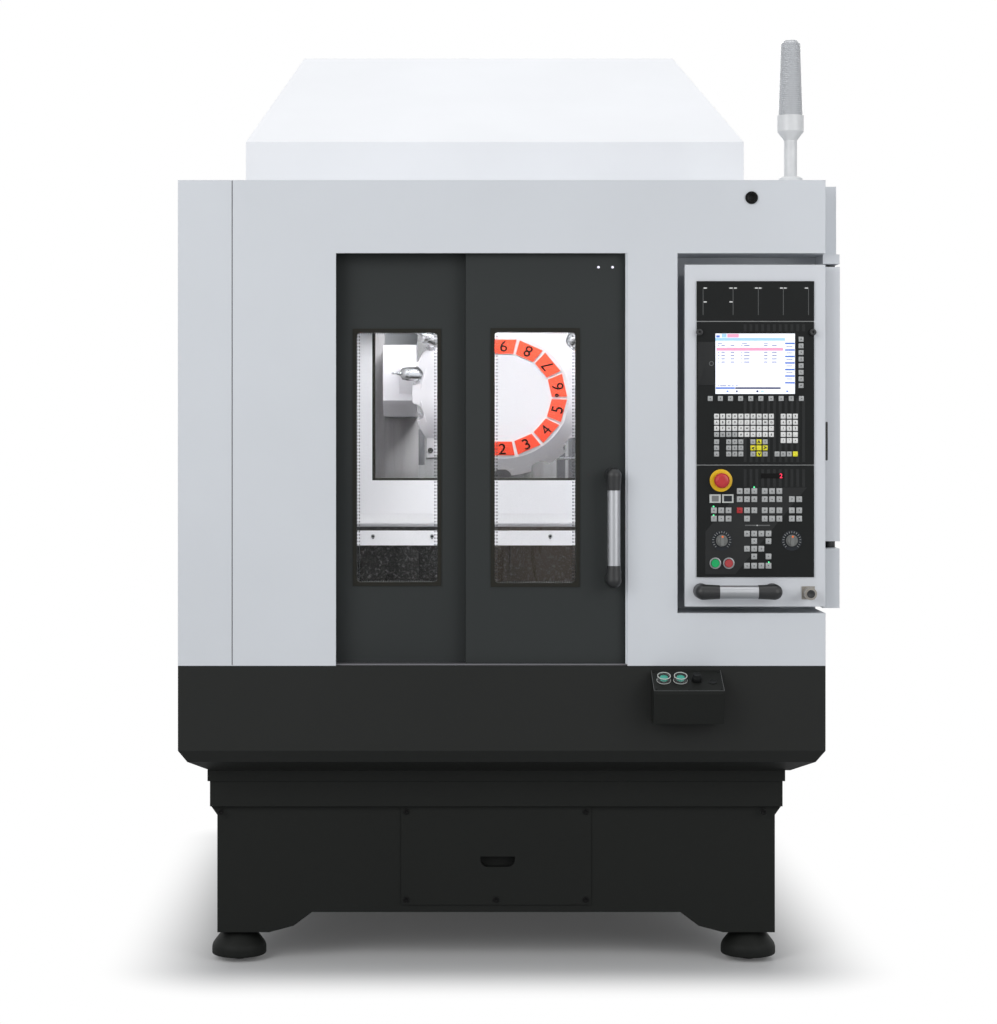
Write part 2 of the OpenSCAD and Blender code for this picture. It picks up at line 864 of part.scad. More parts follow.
// The upper rail guides each leaf's hanger strip, the sill carries their feet
module door_rails() {
    leaf_mid = [right_leaf_y + leaf_t / 2, left_leaf_y + leaf_t / 2];
    track_y = [right_leaf_y - 4, left_leaf_y + leaf_t + 8];
    color("#c9cbce") {
        difference() {
            union() {
                block(rail_x, track_y, [rail_bottom, rail_top]);
                block(rail_x, [front_y + sheet_t, track_y[0] + 1], [rail_top - sheet_t, rail_top]);
                block(rail_x, [front_y + sheet_t, front_y + 2 * sheet_t], [rail_bottom, rail_top]);
            }
            for (y = leaf_mid)
                block(
                    [rail_x[0] - 1, rail_x[1] + 1],
                    [y - hanger_w / 2 - run_gap, y + hanger_w / 2 + run_gap],
                    [rail_bottom - 1, rail_bottom + hanger_h + run_gap]);
        }
        block(rail_x, track_y, [deck_z, deck_z + sill_t]);
    }
}

module chamber_liner() {
    wall_y = [guard_y + sheet_t, column_y - rail_h - 5];
    color("#c2c4c6") {
        block([well_x[0] - sheet_t, well_x[0]], wall_y, [deck_z, guard_top]);
        block(
            [well_x[0] - sheet_t, column_x[0] - arm_box_w - 4], [wall_y[1] - sheet_t, wall_y[1]],
            [deck_z, guard_top]);
        block([well_x[1], well_x[1] + sheet_t], wall_y, [deck_z, guard_top]);
        block([column_x[1] + 2, well_x[1] + sheet_t], [wall_y[1] - sheet_t, wall_y[1]], [deck_z, guard_top]);
    }
}

module inner_guard() {
    lip_back = 18;
    wall = [well_x[0] - sheet_t, well_x[1] + sheet_t];
    color("#eef0f2") {
        difference() {
            block(wall, [guard_y, guard_y + sheet_t], [deck_z, guard_top]);
            block(
                guard_window_x,
                [guard_y - 1, guard_y + sheet_t + 1],
                [deck_z + guard_window_z, guard_top - sheet_t * 4]);
            block(guard_slot_x, [guard_y - 1, guard_y + sheet_t + 1], [deck_z - 1, deck_z + guard_bend_z]);
        }
        along_x(guard_slot_x, [
            [guard_y, deck_z + guard_bend_z], [guard_y + lip_back, deck_z + guard_lip_z],
            [guard_y + lip_back + sheet_t, deck_z + guard_lip_z],
            [guard_y + sheet_t, deck_z + guard_bend_z]
        ]);
        difference() {
            block(guard_slot_x, [guard_y, guard_y + sheet_t], [deck_z + strip_z, deck_z + strip_z + strip_h]);
            for (x = [guard_window_x[0] + 2 : strip_screw_pitch : guard_slot_x[1] - 10])
                front_pin(x, guard_y + sheet_t + 1, deck_z + strip_z + strip_h / 2, 3, sheet_t + 2);
        }
    }
}

module work_light() {
    light_l = 560;
    light_h = 26;
    light_d = 28;
    color("#f4f6f8")
    along_x([mid_x - light_l / 2, mid_x + light_l / 2], [
        [guard_y + sheet_t, guard_top - sheet_t * 4], [guard_y + sheet_t, guard_top],
        [guard_y + sheet_t + light_d, guard_top],
        [guard_y + sheet_t + light_d, guard_top - light_h / 2],
        [guard_y + sheet_t + light_d / 2, guard_top - light_h]
    ]);
}

module electrical_cabinet() {
    plate_in = 60;
    drive_w = 150;
    drive_h = 420;
    drive_d = 260;
    drives = 5;
    drive_step = (cabinet_w - 2 * plate_in) / drives;
    plate_y = rear_y + 3 * sheet_t;
    color("#d3d5d9")
    difference() {
        union() {
            difference() {
                block(cabinet_x, [rear_y, cabinet_open_y], cabinet_z);
                block(
                    [cabinet_x[0] + sheet_t, cabinet_x[1] - sheet_t],
                    [rear_y + sheet_t, cabinet_open_y + 1],
                    [cabinet_z[0] + sheet_t, cabinet_z[1] - sheet_t]);
            }
            block(
                [cabinet_x[0] + plate_in, cabinet_x[1] - plate_in], [rear_y + sheet_t - 1, plate_y],
                [cabinet_z[0] + plate_in, cabinet_z[1] - plate_in]);
            for (i = [0 : drives - 1])
                translate([
                    cabinet_x[0] + plate_in + (i + 0.5) * drive_step - drive_w / 2,
                    plate_y - 1,
                    cabinet_z[1] - plate_in - drive_h - 80
                ])
                    cube([drive_w, drive_d, drive_h]);
            for (z = cabinet_hinge_z) {
                block(
                    [cabinet_x[1] - 1, cabinet_x[1] + 1], [cabinet_open_y - 40, cabinet_open_y],
                    [z - barrel_h, z - run_gap]);
                block(
                    [cabinet_x[1] + run_gap, cabinet_hinge_x],
                    [cabinet_open_y - 40, cabinet_hinge_y],
                    [z - barrel_h, z - run_gap]);
                translate([cabinet_hinge_x, cabinet_hinge_y, z - barrel_h]) {
                    cylinder(r = barrel_r, h = barrel_h - run_gap);
                    cylinder(r = barrel_r / 2, h = 2 * barrel_h);
                }
            }
            translate([cabinet_x[1] - 1, switch_y, switch_z])
                rotate([0, 90, 0])
                    cylinder(r = switch_r + 12, h = 5);
        }
        translate([cabinet_x[1] - sheet_t - 2, switch_y, switch_z])
            rotate([0, 90, 0])
                cylinder(r = stem_r + stem_fit, h = 20);
    }
}

module cabinet_door() {
    door_wall = 3;
    lock_in = 50;
    lock_r = 16;
    color("#d3d5d9")
    difference() {
        union() {
            block(cabinet_x, [cabinet_rear - cabinet_door_t, cabinet_rear], cabinet_z);
            for (z = cabinet_hinge_z) {
                block(
                    [cabinet_x[1] - 1, cabinet_hinge_x],
                    [cabinet_hinge_y - barrel_r * 0.6, cabinet_hinge_y + barrel_r * 0.6],
                    [z, z + barrel_h]);
                translate([cabinet_hinge_x, cabinet_hinge_y, z])
                    cylinder(r = barrel_r, h = barrel_h);
            }
        }
        for (z = [cabinet_z[0] + cabinet_h * 0.3, cabinet_z[0] + cabinet_h * 0.62])
            front_pin(cabinet_x[0] + lock_in, cabinet_rear + 1, z, lock_r, 2);
        block(
            [cabinet_x[0] + door_wall, cabinet_x[1] - door_wall],
            [cabinet_rear - cabinet_door_t - 1, cabinet_rear - door_wall],
            [cabinet_z[0] + door_wall, cabinet_z[1] - door_wall]);
        for (z = cabinet_hinge_z)
            translate([cabinet_hinge_x, cabinet_hinge_y, z - 1])
                cylinder(r = barrel_r / 2 + stem_fit, h = barrel_h + 2);
    }
}

module main_switch() {
    switch_t = 14;
    color("#b3201f")
    translate([cabinet_x[1], switch_y, switch_z])
        rotate([0, 90, 0]) {
            translate([0, 0, -sheet_t])
                cylinder(r = stem_r, h = sheet_t + 5 + switch_t);
            translate([0, 0, 4 + run_gap])
                cylinder(r = switch_r, h = switch_t);
            translate([-switch_r - 4, -8, 4 + run_gap])
                cube([2 * switch_r + 8, 16, switch_t + 18]);
        }
}

// A door leaf with its hanger strip and window cut-out
module door_leaf(x, y, window_x) {
    difference() {
        union() {
            block(x, [y, y + leaf_t], leaf_z);
            block(
                x,
                [y + leaf_t / 2 - hanger_w / 2, y + leaf_t / 2 + hanger_w / 2],
                [leaf_z[1] - 1, leaf_z[1] + hanger_h]);
        }
        round_bar(
            [window_x - gasket_w / 2, window_x + window_w + gasket_w / 2], [y - 1, y + leaf_t + 1],
            [window_z - gasket_w / 2, window_z + window_h + gasket_w / 2],
            window_r + gasket_w / 2);
    }
}

// A rubber gasket that grips the leaf's cut-out and the glass, with a face in front of the leaf
module window_gasket(x, y) {
    mid = y + leaf_t / 2;
    difference() {
        union() {
            block(
                [x - gasket_w, x + window_w + gasket_w], [y - gasket_proud, y],
                [window_z - gasket_w, window_z + window_h + gasket_w]);
            round_bar(
                [x - gasket_w / 2, x + window_w + gasket_w / 2], [y - gasket_proud, y + leaf_t],
                [window_z - gasket_w / 2, window_z + window_h + gasket_w / 2],
                window_r + gasket_w / 2);
        }
        round_bar(
            [x, x + window_w], [y - gasket_proud - 1, y + leaf_t + 1],
            [window_z, window_z + window_h],
            window_r);
        window_pane(x, y);
    }
}

// A pane that sits in the gasket's inner groove
module window_pane(x, y) {
    bite = gasket_w / 4;
    round_bar(
        [x - bite, x + window_w + bite],
        [y + leaf_t / 2 - glass_t / 2, y + leaf_t / 2 + glass_t / 2],
        [window_z - bite, window_z + window_h + bite],
        window_r + bite);
}

module door_left_panel() {
    color("#2e3234") door_leaf(left_leaf_x, left_leaf_y, left_window_x);
}

module door_left_gasket() {
    color("#17160f") window_gasket(left_window_x, left_leaf_y);
}

module door_left_window() {
    color("#dfe6ea", 0.3) window_pane(left_window_x, left_leaf_y);
}

module door_right_panel() {
    color("#2e3234") door_leaf(right_leaf_x, right_leaf_y, right_window_x);
}

module door_right_gasket() {
    color("#17160f") window_gasket(right_window_x, right_leaf_y);
}

module door_right_window() {
    color("#dfe6ea", 0.3) window_pane(right_window_x, right_leaf_y);
}

// One end piece of a handle along +Z: a post, a round elbow and a socket that meets the grip
module handle_end(reach) {
    rotate([90, 0, 0])
        cylinder(r = handle_r, h = grip_standoff);
    translate([0, -grip_standoff, 0])
        sphere(r = handle_r);
    translate([0, -grip_standoff, 0])
        cylinder(r1 = handle_r, r2 = grip_r + 1, h = reach);
}

// Both end pieces of a handle that starts at the origin and runs along +Z
module handle_ends(length, grip) {
    reach = (length - grip) / 2 - handle_r;
    translate([0, 0, handle_r])
        handle_end(reach);
    translate([0, 0, length - handle_r])
        mirror([0, 0, 1])
            handle_end(reach);
}

module handle_grip(length, grip) {
    translate([0, -grip_standoff, (length - grip) / 2])
        cylinder(r = grip_r, h = grip);
}

module door_handle_place() {
    translate([door_handle_x, right_leaf_y, door_handle_low])
        children();
}

module door_handle_ends() {
    color("#1a1b1d") door_handle_place() handle_ends(door_handle_l, door_grip_l);
}

module door_handle_grip() {
    color("#d7d9dc") door_handle_place() handle_grip(door_handle_l, door_grip_l);
}

module panel_handle_place() {
    translate([panel_handle_x + panel_handle_l / 2, front_y, panel_handle_z])
        rotate([0, -90, 0])
            children();
}

module panel_handle_ends() {
    color("#1a1b1d") panel_handle_place() handle_ends(panel_handle_l, panel_grip_l);
}

module panel_handle_grip() {
    color("#d7d9dc") panel_handle_place() handle_grip(panel_handle_l, panel_grip_l);
}

// Fixed brackets above and below the panel's hinge wing, each with a pin
module panel_hinges() {
    collar_r = 2 * hinge_pin_r;
    upper_z = [wing_z[1] + 8, recess_high];
    color("#c9cbce") {
        block(wing_x, bracket_y, [recess_low + 10, bracket_low_top]);
        block([right_x, wing_x[0] + 1], [front_y + recess_d, bracket_y[1]], [recess_low + 10, bracket_low_top]);
        translate([hinge_x, hinge_y, bracket_low_top - 1]) {
            cylinder(r = collar_r, h = wing_z[0] - bracket_low_top + 1 - run_gap);
            cylinder(r = hinge_pin_r, h = wing_z[0] - bracket_low_top + 1 + hinge_pin_l);
        }
        block(wing_x, bracket_y, upper_z);
        block([right_x, wing_x[0] + 1], [front_y + recess_d, bracket_y[1]], upper_z);
        translate([hinge_x, hinge_y, wing_z[1] - hinge_pin_l])
            cylinder(r = hinge_pin_r, h = hinge_pin_l + 9);
        translate([hinge_x, hinge_y, wing_z[1] + run_gap])
            cylinder(r = collar_r, h = 9);
    }
}

// Front plate, housing behind it and the hinge wing at the right
module panel_shell() {
    back_x = [panel_x + 12, panel_x + panel_w - 68];
    back_y = [front_y + panel_t, front_y + panel_t + panel_back_d];
    back_z = [panel_z + 12, panel_z + panel_h - 12];
    color("#e4e6e9")
    difference() {
        union() {
            block([panel_x, panel_x + panel_w], [front_y, front_y + panel_t], [panel_z, panel_z + panel_h]);
            block(back_x, [back_y[0] - 1, back_y[1]], back_z);
            block([back_x[1] - 1, wing_x[1]], wing_y, wing_z);
        }
        block(
            [unit_x + cutout_in, unit_x + unit_w - cutout_in],
            [front_y - 1, front_y + unit_d + unit_fit],
            [control_z + cutout_in, blank_z + blank_h - cutout_in]);
        for (z = [wing_z[0] - 1, wing_z[1] - hinge_pin_l - 1])
            translate([hinge_x, hinge_y, z])
                cylinder(r = hinge_pin_r + stem_fit, h = hinge_pin_l + 2);
        front_pin(socket_x, front_y + panel_t + 1, socket_z, 13, panel_t + 2);
    }
}

// A unit in the panel: its face on the plate and its body in the cut-out
module panel_unit(z, h, low_in, high_in) {
    block([unit_x, unit_x + unit_w], [unit_face_y, front_y], [z, z + h]);
    block(
        [unit_x + cutout_in + unit_fit, unit_x + unit_w - cutout_in - unit_fit],
        [front_y - 1, front_y + unit_d],
        [z + low_in, z + h - high_in]);
}

module blank_unit() {
    color("#15161a") panel_unit(blank_z, blank_h, unit_fit, cutout_in + unit_fit);
}

module display_unit() {
    color("#15161a")
    difference() {
        panel_unit(display_z, display_h, unit_fit, unit_fit);
        block(
            [unit_x + screen_at[0], unit_x + screen_at[0] + screen_w],
            [unit_face_y - 1, unit_face_y + 2],
            [display_z + screen_at[1], display_z + screen_at[1] + screen_h]);
    }
}

module display_screen() {
    screen_t = 1.2;
    color("#cfe0f4")
    block(
        [unit_x + screen_at[0], unit_x + screen_at[0] + screen_w],
        [unit_face_y + 2 - screen_t, unit_face_y + 2],
        [display_z + screen_at[1], display_z + screen_at[1] + screen_h]);
}

// A hole for a push button's stem in the control unit, open at the front
module control_hole(at, r) {
    front_pin(unit_x + at[0], front_y + stem_l, control_z + at[1], r + stem_fit, stem_l + 3 * unit_face_t);
}

module control_unit() {
    ring_t = 3;
    color("#15161a")
    difference() {
        union() {
            panel_unit(control_z, control_h, cutout_in + unit_fit, unit_fit);
            front_pin(unit_x + stop_at[0], unit_face_y + 1, control_z + stop_at[1], stop_ring_r, ring_t + 1);
            for (at = [start_at, halt_at])
                front_pin(unit_x + at[0], unit_face_y + 1, control_z + at[1], bezel_r, 4);
        }
        control_hole(stop_at, stop_stem_r);
        for (at = [start_at, halt_at, feed_at, speed_at, lamp_at[0], lamp_at[1]])
            control_hole(at, stem_r);
        for (at = [start_at, halt_at])
            front_pin(
                unit_x + at[0], unit_face_y + 1 + button_travel, control_z + at[1],
                button_r + run_gap, 3 * unit_face_t);
        for (at = lamp_at)
            block(
                [unit_x + at[0] - lamp_w / 2 - run_gap, unit_x + at[0] + lamp_w / 2 + run_gap],
                [unit_face_y - 1, unit_face_y + 3 + button_travel],
                [control_z + at[1] - lamp_h / 2 - run_gap, control_z + at[1] + lamp_h / 2 + run_gap]);
        block(
            [unit_x + readout_at[0] - readout[0] / 2, unit_x + readout_at[0] + readout[0] / 2],
            [unit_face_y - 1, unit_face_y + 1],
            [control_z + readout_at[1] - readout[1] / 2, control_z + readout_at[1] + readout[1] / 2]);
    }
}

// One key cap on a unit's face
module key_cap(x, z, w) {
    block([x - w / 2, x + w / 2], [unit_face_y - key_t, unit_face_y], [z - w / 2, z + w / 2]);
}

// A grid of key caps that starts at its upper left key
module key_grid(at, columns, rows, step, w) {
    for (i = [0 : columns - 1], j = [0 : rows - 1])
        key_cap(at[0] + i * step, at[1] - j * step, w);
}

module display_keys() {
    corner = [unit_x, display_z];
    key_grid(corner + letters_at, 10, 4, key_pitch, key_w);
    key_grid(corner + digits_at, 3, 5, key_pitch, key_w);
    key_grid(corner + cursor_at, 3, 3, key_pitch, key_w);
    key_grid(corner + edit_at, 3, 3, key_pitch, key_w);
    key_grid(corner + [letters_at[0], edit_at[1]], 1, 3, key_pitch, key_w);
    key_grid(corner + [digits_at[0] - key_pitch, edit_at[1] - 2 * key_pitch], 4, 1, key_pitch, key_w);
    for (j = [0 : 7])
        key_cap(corner[0] + soft_side_at[0], corner[1] + soft_side_at[1] - j * soft_side_pitch, key_w);
    for (i = [0 : 9])
        key_cap(corner[0] + soft_low_at[0] + i * soft_low_pitch, corner[1] + soft_low_at[1], key_w);
}

// A row of machine keys in one group
module machine_row(group, row, columns) {
    at = [unit_x + machine_groups[group], control_z + machine_rows[row]];
    key_grid(at, columns, 1, machine_key_pitch, machine_key_w);
}

module control_keys() {
    jog = [unit_x, control_z] + jog_at;
    for (group = [1, 2], row = [0 : 2])
        machine_row(group, row, 3);
    for (row = [2, 3])
        machine_row(0, row, 3);
    machine_row(2, 3, 3);
    for (row = [1 : 3])
        machine_row(3, row, 2);
    key_cap(unit_x + machine_groups[1] + machine_key_pitch, control_z + machine_rows[3], machine_key_w);
    for (row = [0, 4])
        key_grid(jog - [0, jog_rows[row]], 4, 1, jog_pitch, machine_key_w);
    for (row = [1, 3], column = [1, 3])
        key_cap(jog[0] + column * jog_pitch, jog[1] - jog_rows[row], machine_key_w);
    key_grid(jog - [0, jog_rows[2]], 3, 1, jog_pitch, machine_key_w);
}

module panel_keys() {
    color("#e8e8e4") {
        display_keys();
        control_keys();
    }
}

module data_socket() {
    flange = 34;
    nut_r = 16;
    color("#b9bcbf") {
        block(
            [socket_x - flange / 2, socket_x + flange / 2], [front_y - 3, front_y],
            [socket_z - flange / 2, socket_z + flange / 2]);
        front_pin(socket_x, front_y + panel_t, socket_z, 13 - unit_fit, panel_t);
        front_pin(socket_x, front_y - 2, socket_z, nut_r - 2, 28);
        front_pin(socket_x, front_y - 30, socket_z, nut_r, 16);
        front_pin(socket_x, front_y - 46, socket_z, nut_r - 4, 4);
    }
}

// A turned push button on the control unit: stem in the hole, head in front
module control_button(at, face_y, r, head) {
    front_pin(unit_x + at[0], front_y + stem_l - 8, control_z + at[1], stem_r, stem_l - 8 + unit_face_t + 2);
    front_pin(unit_x + at[0], face_y, control_z + at[1], r, head);
}

module emergency_stop() {
    neck_y = unit_face_y - 3;
    color("#c8231c")
    translate([unit_x + stop_at[0], neck_y, control_z + stop_at[1]])
        rotate([90, 0, 0])
            rotate_extrude()
                polygon([
                    [0, -stem_l], [stop_stem_r, -stem_l],
                    [stop_stem_r, 9], [stop_head_r - 1.5, 9],
                    [stop_head_r, 11], [stop_head_r, 20],
                    [stop_head_r - 3, 24], [stop_head_r - 9, 26],
                    [0, 26]
                ]);
}

module start_button() {
    color("#1f9a63") control_button(start_at, unit_face_y + 1 - run_gap, button_r, 9);
}

module stop_button() {
    color("#c33a30") control_button(halt_at, unit_face_y + 1 - run_gap, button_r, 9);
}

module lamp_button(at) {
    front_pin(unit_x + at[0], front_y + stem_l - 8, control_z + at[1], stem_r, stem_l - 8 + unit_face_t);
    block(
        [unit_x + at[0] - lamp_w / 2, unit_x + at[0] + lamp_w / 2],
        [unit_face_y - 5, unit_face_y + 3 - run_gap],
        [control_z + at[1] - lamp_h / 2, control_z + at[1] + lamp_h / 2]);
}

module lamp_button_left() {
    color("#cfd2d0") lamp_button(lamp_at[0]);
}

module lamp_button_right() {
    color("#cfd2d0") lamp_button(lamp_at[1]);
}

// A dial knob with a finger ridge
module dial(at) {
    skirt_h = 5;
    ridge = 9;
    translate([unit_x + at[0], unit_face_y - run_gap, control_z + at[1]])
        rotate([90, 0, 0]) {
            translate([0, 0, -stem_l])
                cylinder(r = stem_r, h = stem_l + 1);
            cylinder(r = dial_r, h = skirt_h);
            cylinder(r1 = dial_r - 2, r2 = dial_r - 4, h = dial_h - 4);
            translate([-ridge / 2, -dial_r + 3, 0])
                cube([ridge, 2 * dial_r - 6, dial_h]);
        }
}

module feed_dial() {
    color("#8c8f92") dial(feed_at);
}

module speed_dial() {
    color("#8c8f92") dial(speed_at);
}

// Frame of the control box's sloped top: +Z leaves the plate, the origin is at its upper left corner
module box_top_place() {
    translate([box_x[0], front_y, box_top])
        rotate([box_slope, 0, 0])
            children();
}

module control_box() {
    guard_r = 17;
    color("#141517")
    difference() {
        union() {
            along_x(box_x, [
                [front_y, box_top], [front_y - box_reach, box_top - box_drop],
                [front_y - box_reach, box_top - box_drop - 8],
                [front_y - box_reach * 0.8, box_top - box_h], [front_y, box_top - box_h]
            ]);
            box_top_place()
                for (x = box_button_at)
                    translate([x, -box_face / 2, -1])
                        cylinder(r = guard_r, h = 5);
        }
        box_top_place() {
            for (x = box_button_at) {
                translate([x, -box_face / 2, -stem_l])
                    cylinder(r = stem_r + stem_fit, h = stem_l + 10);
                translate([x, -box_face / 2, -1 - button_travel])
                    cylinder(r = button_r + run_gap, h = 10 + button_travel);
            }
            translate([box_selector_at, -box_face / 2, -stem_l])
                cylinder(r = stem_r + stem_fit, h = stem_l + 10);
        }
    }
}

module box_button(x) {
    box_top_place()
        translate([x, -box_face / 2, 0]) {
            translate([0, 0, -stem_l + 8])
                cylinder(r = stem_r, h = stem_l);
            translate([0, 0, -1 + run_gap])
                cylinder(r = button_r, h = 11);
        }
}

module box_button_left() {
    color("#25a06a") box_button(box_button_at[0]);
}

module box_button_right() {
    color("#25a06a") box_button(box_button_at[1]);
}

module box_selector() {
    knob_r = 13;
    color("#1a1b1d")
    box_top_place()
        translate([box_selector_at, -box_face / 2, run_gap]) {
            translate([0, 0, -stem_l + 2])
                cylinder(r = stem_r, h = stem_l);
            cylinder(r = knob_r, h = 10);
            translate([-4.5, -knob_r + 1, 0])
                cube([9, 2 * knob_r - 2, 20]);
        }
}

// The spindle head runs on the column's rails and carries the spindle's cartridge
module spindle_head() {
    head_x = [spindle_x - head_w / 2, spindle_x + head_w / 2];
    nose_relief = 90;
    color("#c6c9cc")
    difference() {
        union() {
            along_x(head_x, [
                [head_front, head_z], [head_front, head_z + head_h],
                [head_rear, head_z + head_h], [head_rear, head_z - nose_relief],
                [head_rear - 2 * nose_relief, head_z - nose_relief]
            ]);
            translate([spindle_x, spindle_y, nose_z])
                cylinder(r = cartridge_r, h = head_z - nose_z + 1);
        }
        translate([spindle_x, spindle_y, nose_z - 1])
            cylinder(r = shaft_r + stem_fit, h = 300);
        for (side = [-1, 1])
            translate([
                spindle_x + side * head_rail_pitch / 2 - rail_w / 2 - run_gap,
                head_rear - groove,
                head_z - nose_relief - 1
            ])
                cube([rail_w + 2 * run_gap, groove + 1, head_h + nose_relief + 2]);
    }
}

module spindle_motor() {
    motor_w = 150;
    motor_h = 250;
    flange_t = 20;
    color("#26282b")
    translate([spindle_x, spindle_y + 30, head_z + head_h]) {
        translate([-motor_w / 2 - 10, -motor_w / 2 - 10, 0])
            cube([motor_w + 20, motor_w + 20, flange_t]);
        difference() {
            translate([-motor_w / 2, -motor_w / 2, flange_t])
                cube([motor_w, motor_w, motor_h - flange_t]);
            for (side = [-1, 1], i = [-2 : 2])
                translate([side * motor_w / 2 - 5, i * motor_w / 6 - 5, flange_t + 10])
                    cube([10, 10, motor_h]);
        }
    }
}

module spindle_shaft() {
    taper_r = [15.9, 8.9];
    taper_l = 48;
    nose_drop = 12;
    color("#b4b7ba")
    difference() {
        union() {
            translate([spindle_x, spindle_y, nose_z - nose_drop])
                cylinder(r = shaft_r, h = 290);
            translate([spindle_x, spindle_y, nose_z - nose_drop])
                cylinder(r = shaft_r + 8, h = nose_drop - run_gap);
        }
        translate([spindle_x, spindle_y, nose_z - nose_drop])
            cylinder(r1 = taper_r[0], r2 = taper_r[1], h = taper_l);
    }
}

// The turret's own frame: +Z leaves its front face, +Y points up along the face
module turret_place() {
    translate([spindle_x, turret_y, turret_z])
        rotate([90 + turret_tilt, 0, 0])
            children();
}

// Angle of a tool place seen from the front, place two at the bottom
function place_angle(place) = 270 + (place - 2) * 360 / tool_places;

// The axis of a tool place: +Z runs out of the holder towards the tool's tip
module tool_axis(place) {
    rotate([0, 0, place_angle(place)])
        translate([grip_at[0], 0, grip_at[1]])
            rotate([0, 90 - turret_tilt, 0])
                children();
}

// A dome with a flat front, a sloped scalloped flank, a clip in each scallop, a hub and a shaft
module turret_disc() {
    clip_x = [-scallop_r, 20];
    color("#eceef0")
    turret_place() {
        difference() {
            rotate_extrude()
                polygon([
                    [0, 0], [turret_face_r, 0],
                    [turret_face_r + 4, -2], [turret_r, -turret_cone],
                    [turret_r, -turret_cone - turret_wall], [turret_face_r, -turret_wall - 2],
                    [hub_r, -turret_wall], [hub_r, hub_back],
                    [turret_shaft_r, hub_back], [turret_shaft_r, hub_back - turret_shaft_l],
                    [0, hub_back - turret_shaft_l]
                ]);
            for (place = [1 : tool_places])
                tool_axis(place)
                    translate([0, 0, -20])
                        cylinder(r = scallop_r, h = 90);
        }
        for (place = [1 : tool_places])
            tool_axis(place)
                difference() {
                    translate([clip_x[0], -scallop_r - 3, groove_s[0] + 0.2])
                        cube([clip_x[1] - clip_x[0], 2 * scallop_r + 6, groove_s[1] - groove_s[0] - 0.4]);
                    translate([0, 0, groove_s[0] - 1])
                        cylinder(r = groove_r + run_gap, h = 10);
                    translate([0, -groove_r + 2, groove_s[0] - 1])
                        cube([clip_x[1] + 1, 2 * groove_r - 4, 10]);
                }
    }
}

// Flat tiles around the turret's front face, one at each tool place
module number_tiles() {
    half = 180 / tool_places * tile_share;
    color("#e2502f")
    turret_place()
        for (place = [1 : tool_places])
            rotate([0, 0, place_angle(place)])
                linear_extrude(tile_t)
                    polygon([
                        tile_inner_r * [cos(half), -sin(half)],
                        tile_outer_r * [cos(half), -sin(half)],
                        tile_outer_r * [cos(half), sin(half)],
                        tile_inner_r * [cos(half), sin(half)]
                    ]);
}

// A tool holder with a taper, a grooved flange, a collet nut and a drill
module tool_holder() {
    taper_tip_r = 9;
    taper_l = 48;
    nose_r = 20;
    drill_r = 3;
    rotate_extrude()
        polygon([
            [0, -taper_l], [taper_tip_r, -taper_l],
            [taper_tip_r + 7, 0], [holder_r, 0],
            [holder_r, groove_s[0] - 1.5], [groove_r, groove_s[0]],
            [groove_r, groove_s[1]], [holder_r, groove_s[1] + 1.5],
            [holder_r, 20], [nose_r, 21],
            [nose_r, 52], [nose_r - 2, 54],
            [nose_r - 2, 64], [nose_r - 9, 70],
            [drill_r + 2, 70], [drill_r + 2, 82],
            [drill_r, 84], [drill_r, 100],
            [0, 102]
        ]);
}

module tool_holders() {
    color("#8f9396")
    turret_place()
        for (place = loaded_places)
            tool_axis(place)
                tool_holder();
}

// A bearing housing behind the turret, and the drive box that fixes its arm to the column
module magazine_arm() {
    housing_r = 52;
    housing = [hub_back - turret_shaft_l - 6, hub_back - run_gap];
    arm_half = 38;
    box_front = turret_y + 130;
    box_x = [column_x[0] - arm_box_w, column_x[0]];
    under = 45;
    color("#e3e5e7")
    difference() {
        union() {
            turret_place() {
                translate([0, 0, housing[0]])
                    cylinder(r = housing_r, h = housing[1] - housing[0]);
                translate([box_x[0] + arm_box_w / 2 - spindle_x, -arm_half, housing[0]])
                    cube([spindle_x - box_x[0] - arm_box_w / 2, 2 * arm_half, housing[1] - housing[0] - 12]);
            }
            along_x(box_x, [
                [box_front, arm_box_z[0]], [box_front, arm_box_z[1]],
                [column_y + 90, arm_box_z[1]], [column_y + 90, arm_box_z[0] - under],
                [box_front + 2 * under, arm_box_z[0] - under]
            ]);
        }
        turret_place()
            translate([0, 0, hub_back - turret_shaft_l - run_gap])
                cylinder(r = turret_shaft_r + stem_fit, h = turret_shaft_l + 20);
    }
}

// Grooves under a slide for a pair of rails along Y
module rail_grooves_y(pitch, y, z) {
    for (side = [-1, 1])
        translate([spindle_x + side * pitch / 2 - rail_w / 2 - run_gap, y[0] - 1, z - 1])
            cube([rail_w + 2 * run_gap, y[1] - y[0] + 2, groove + 1]);
}

module saddle() {
    saddle_x = [spindle_x - saddle_w / 2, spindle_x + saddle_w / 2];
    saddle_y = [spindle_y - saddle_l / 2, spindle_y + saddle_l / 2];
    color("#54575b")
    difference() {
        union() {
            block(saddle_x, saddle_y, [saddle_z, saddle_top]);
            for (side = [-1, 1])
                translate([saddle_x[0], spindle_y + side * saddle_rail_pitch / 2 - rail_w / 2, saddle_top])
                    cube([saddle_w, rail_w, rail_h]);
        }
        rail_grooves_y(bed_rail_pitch, saddle_y, saddle_z);
    }
}

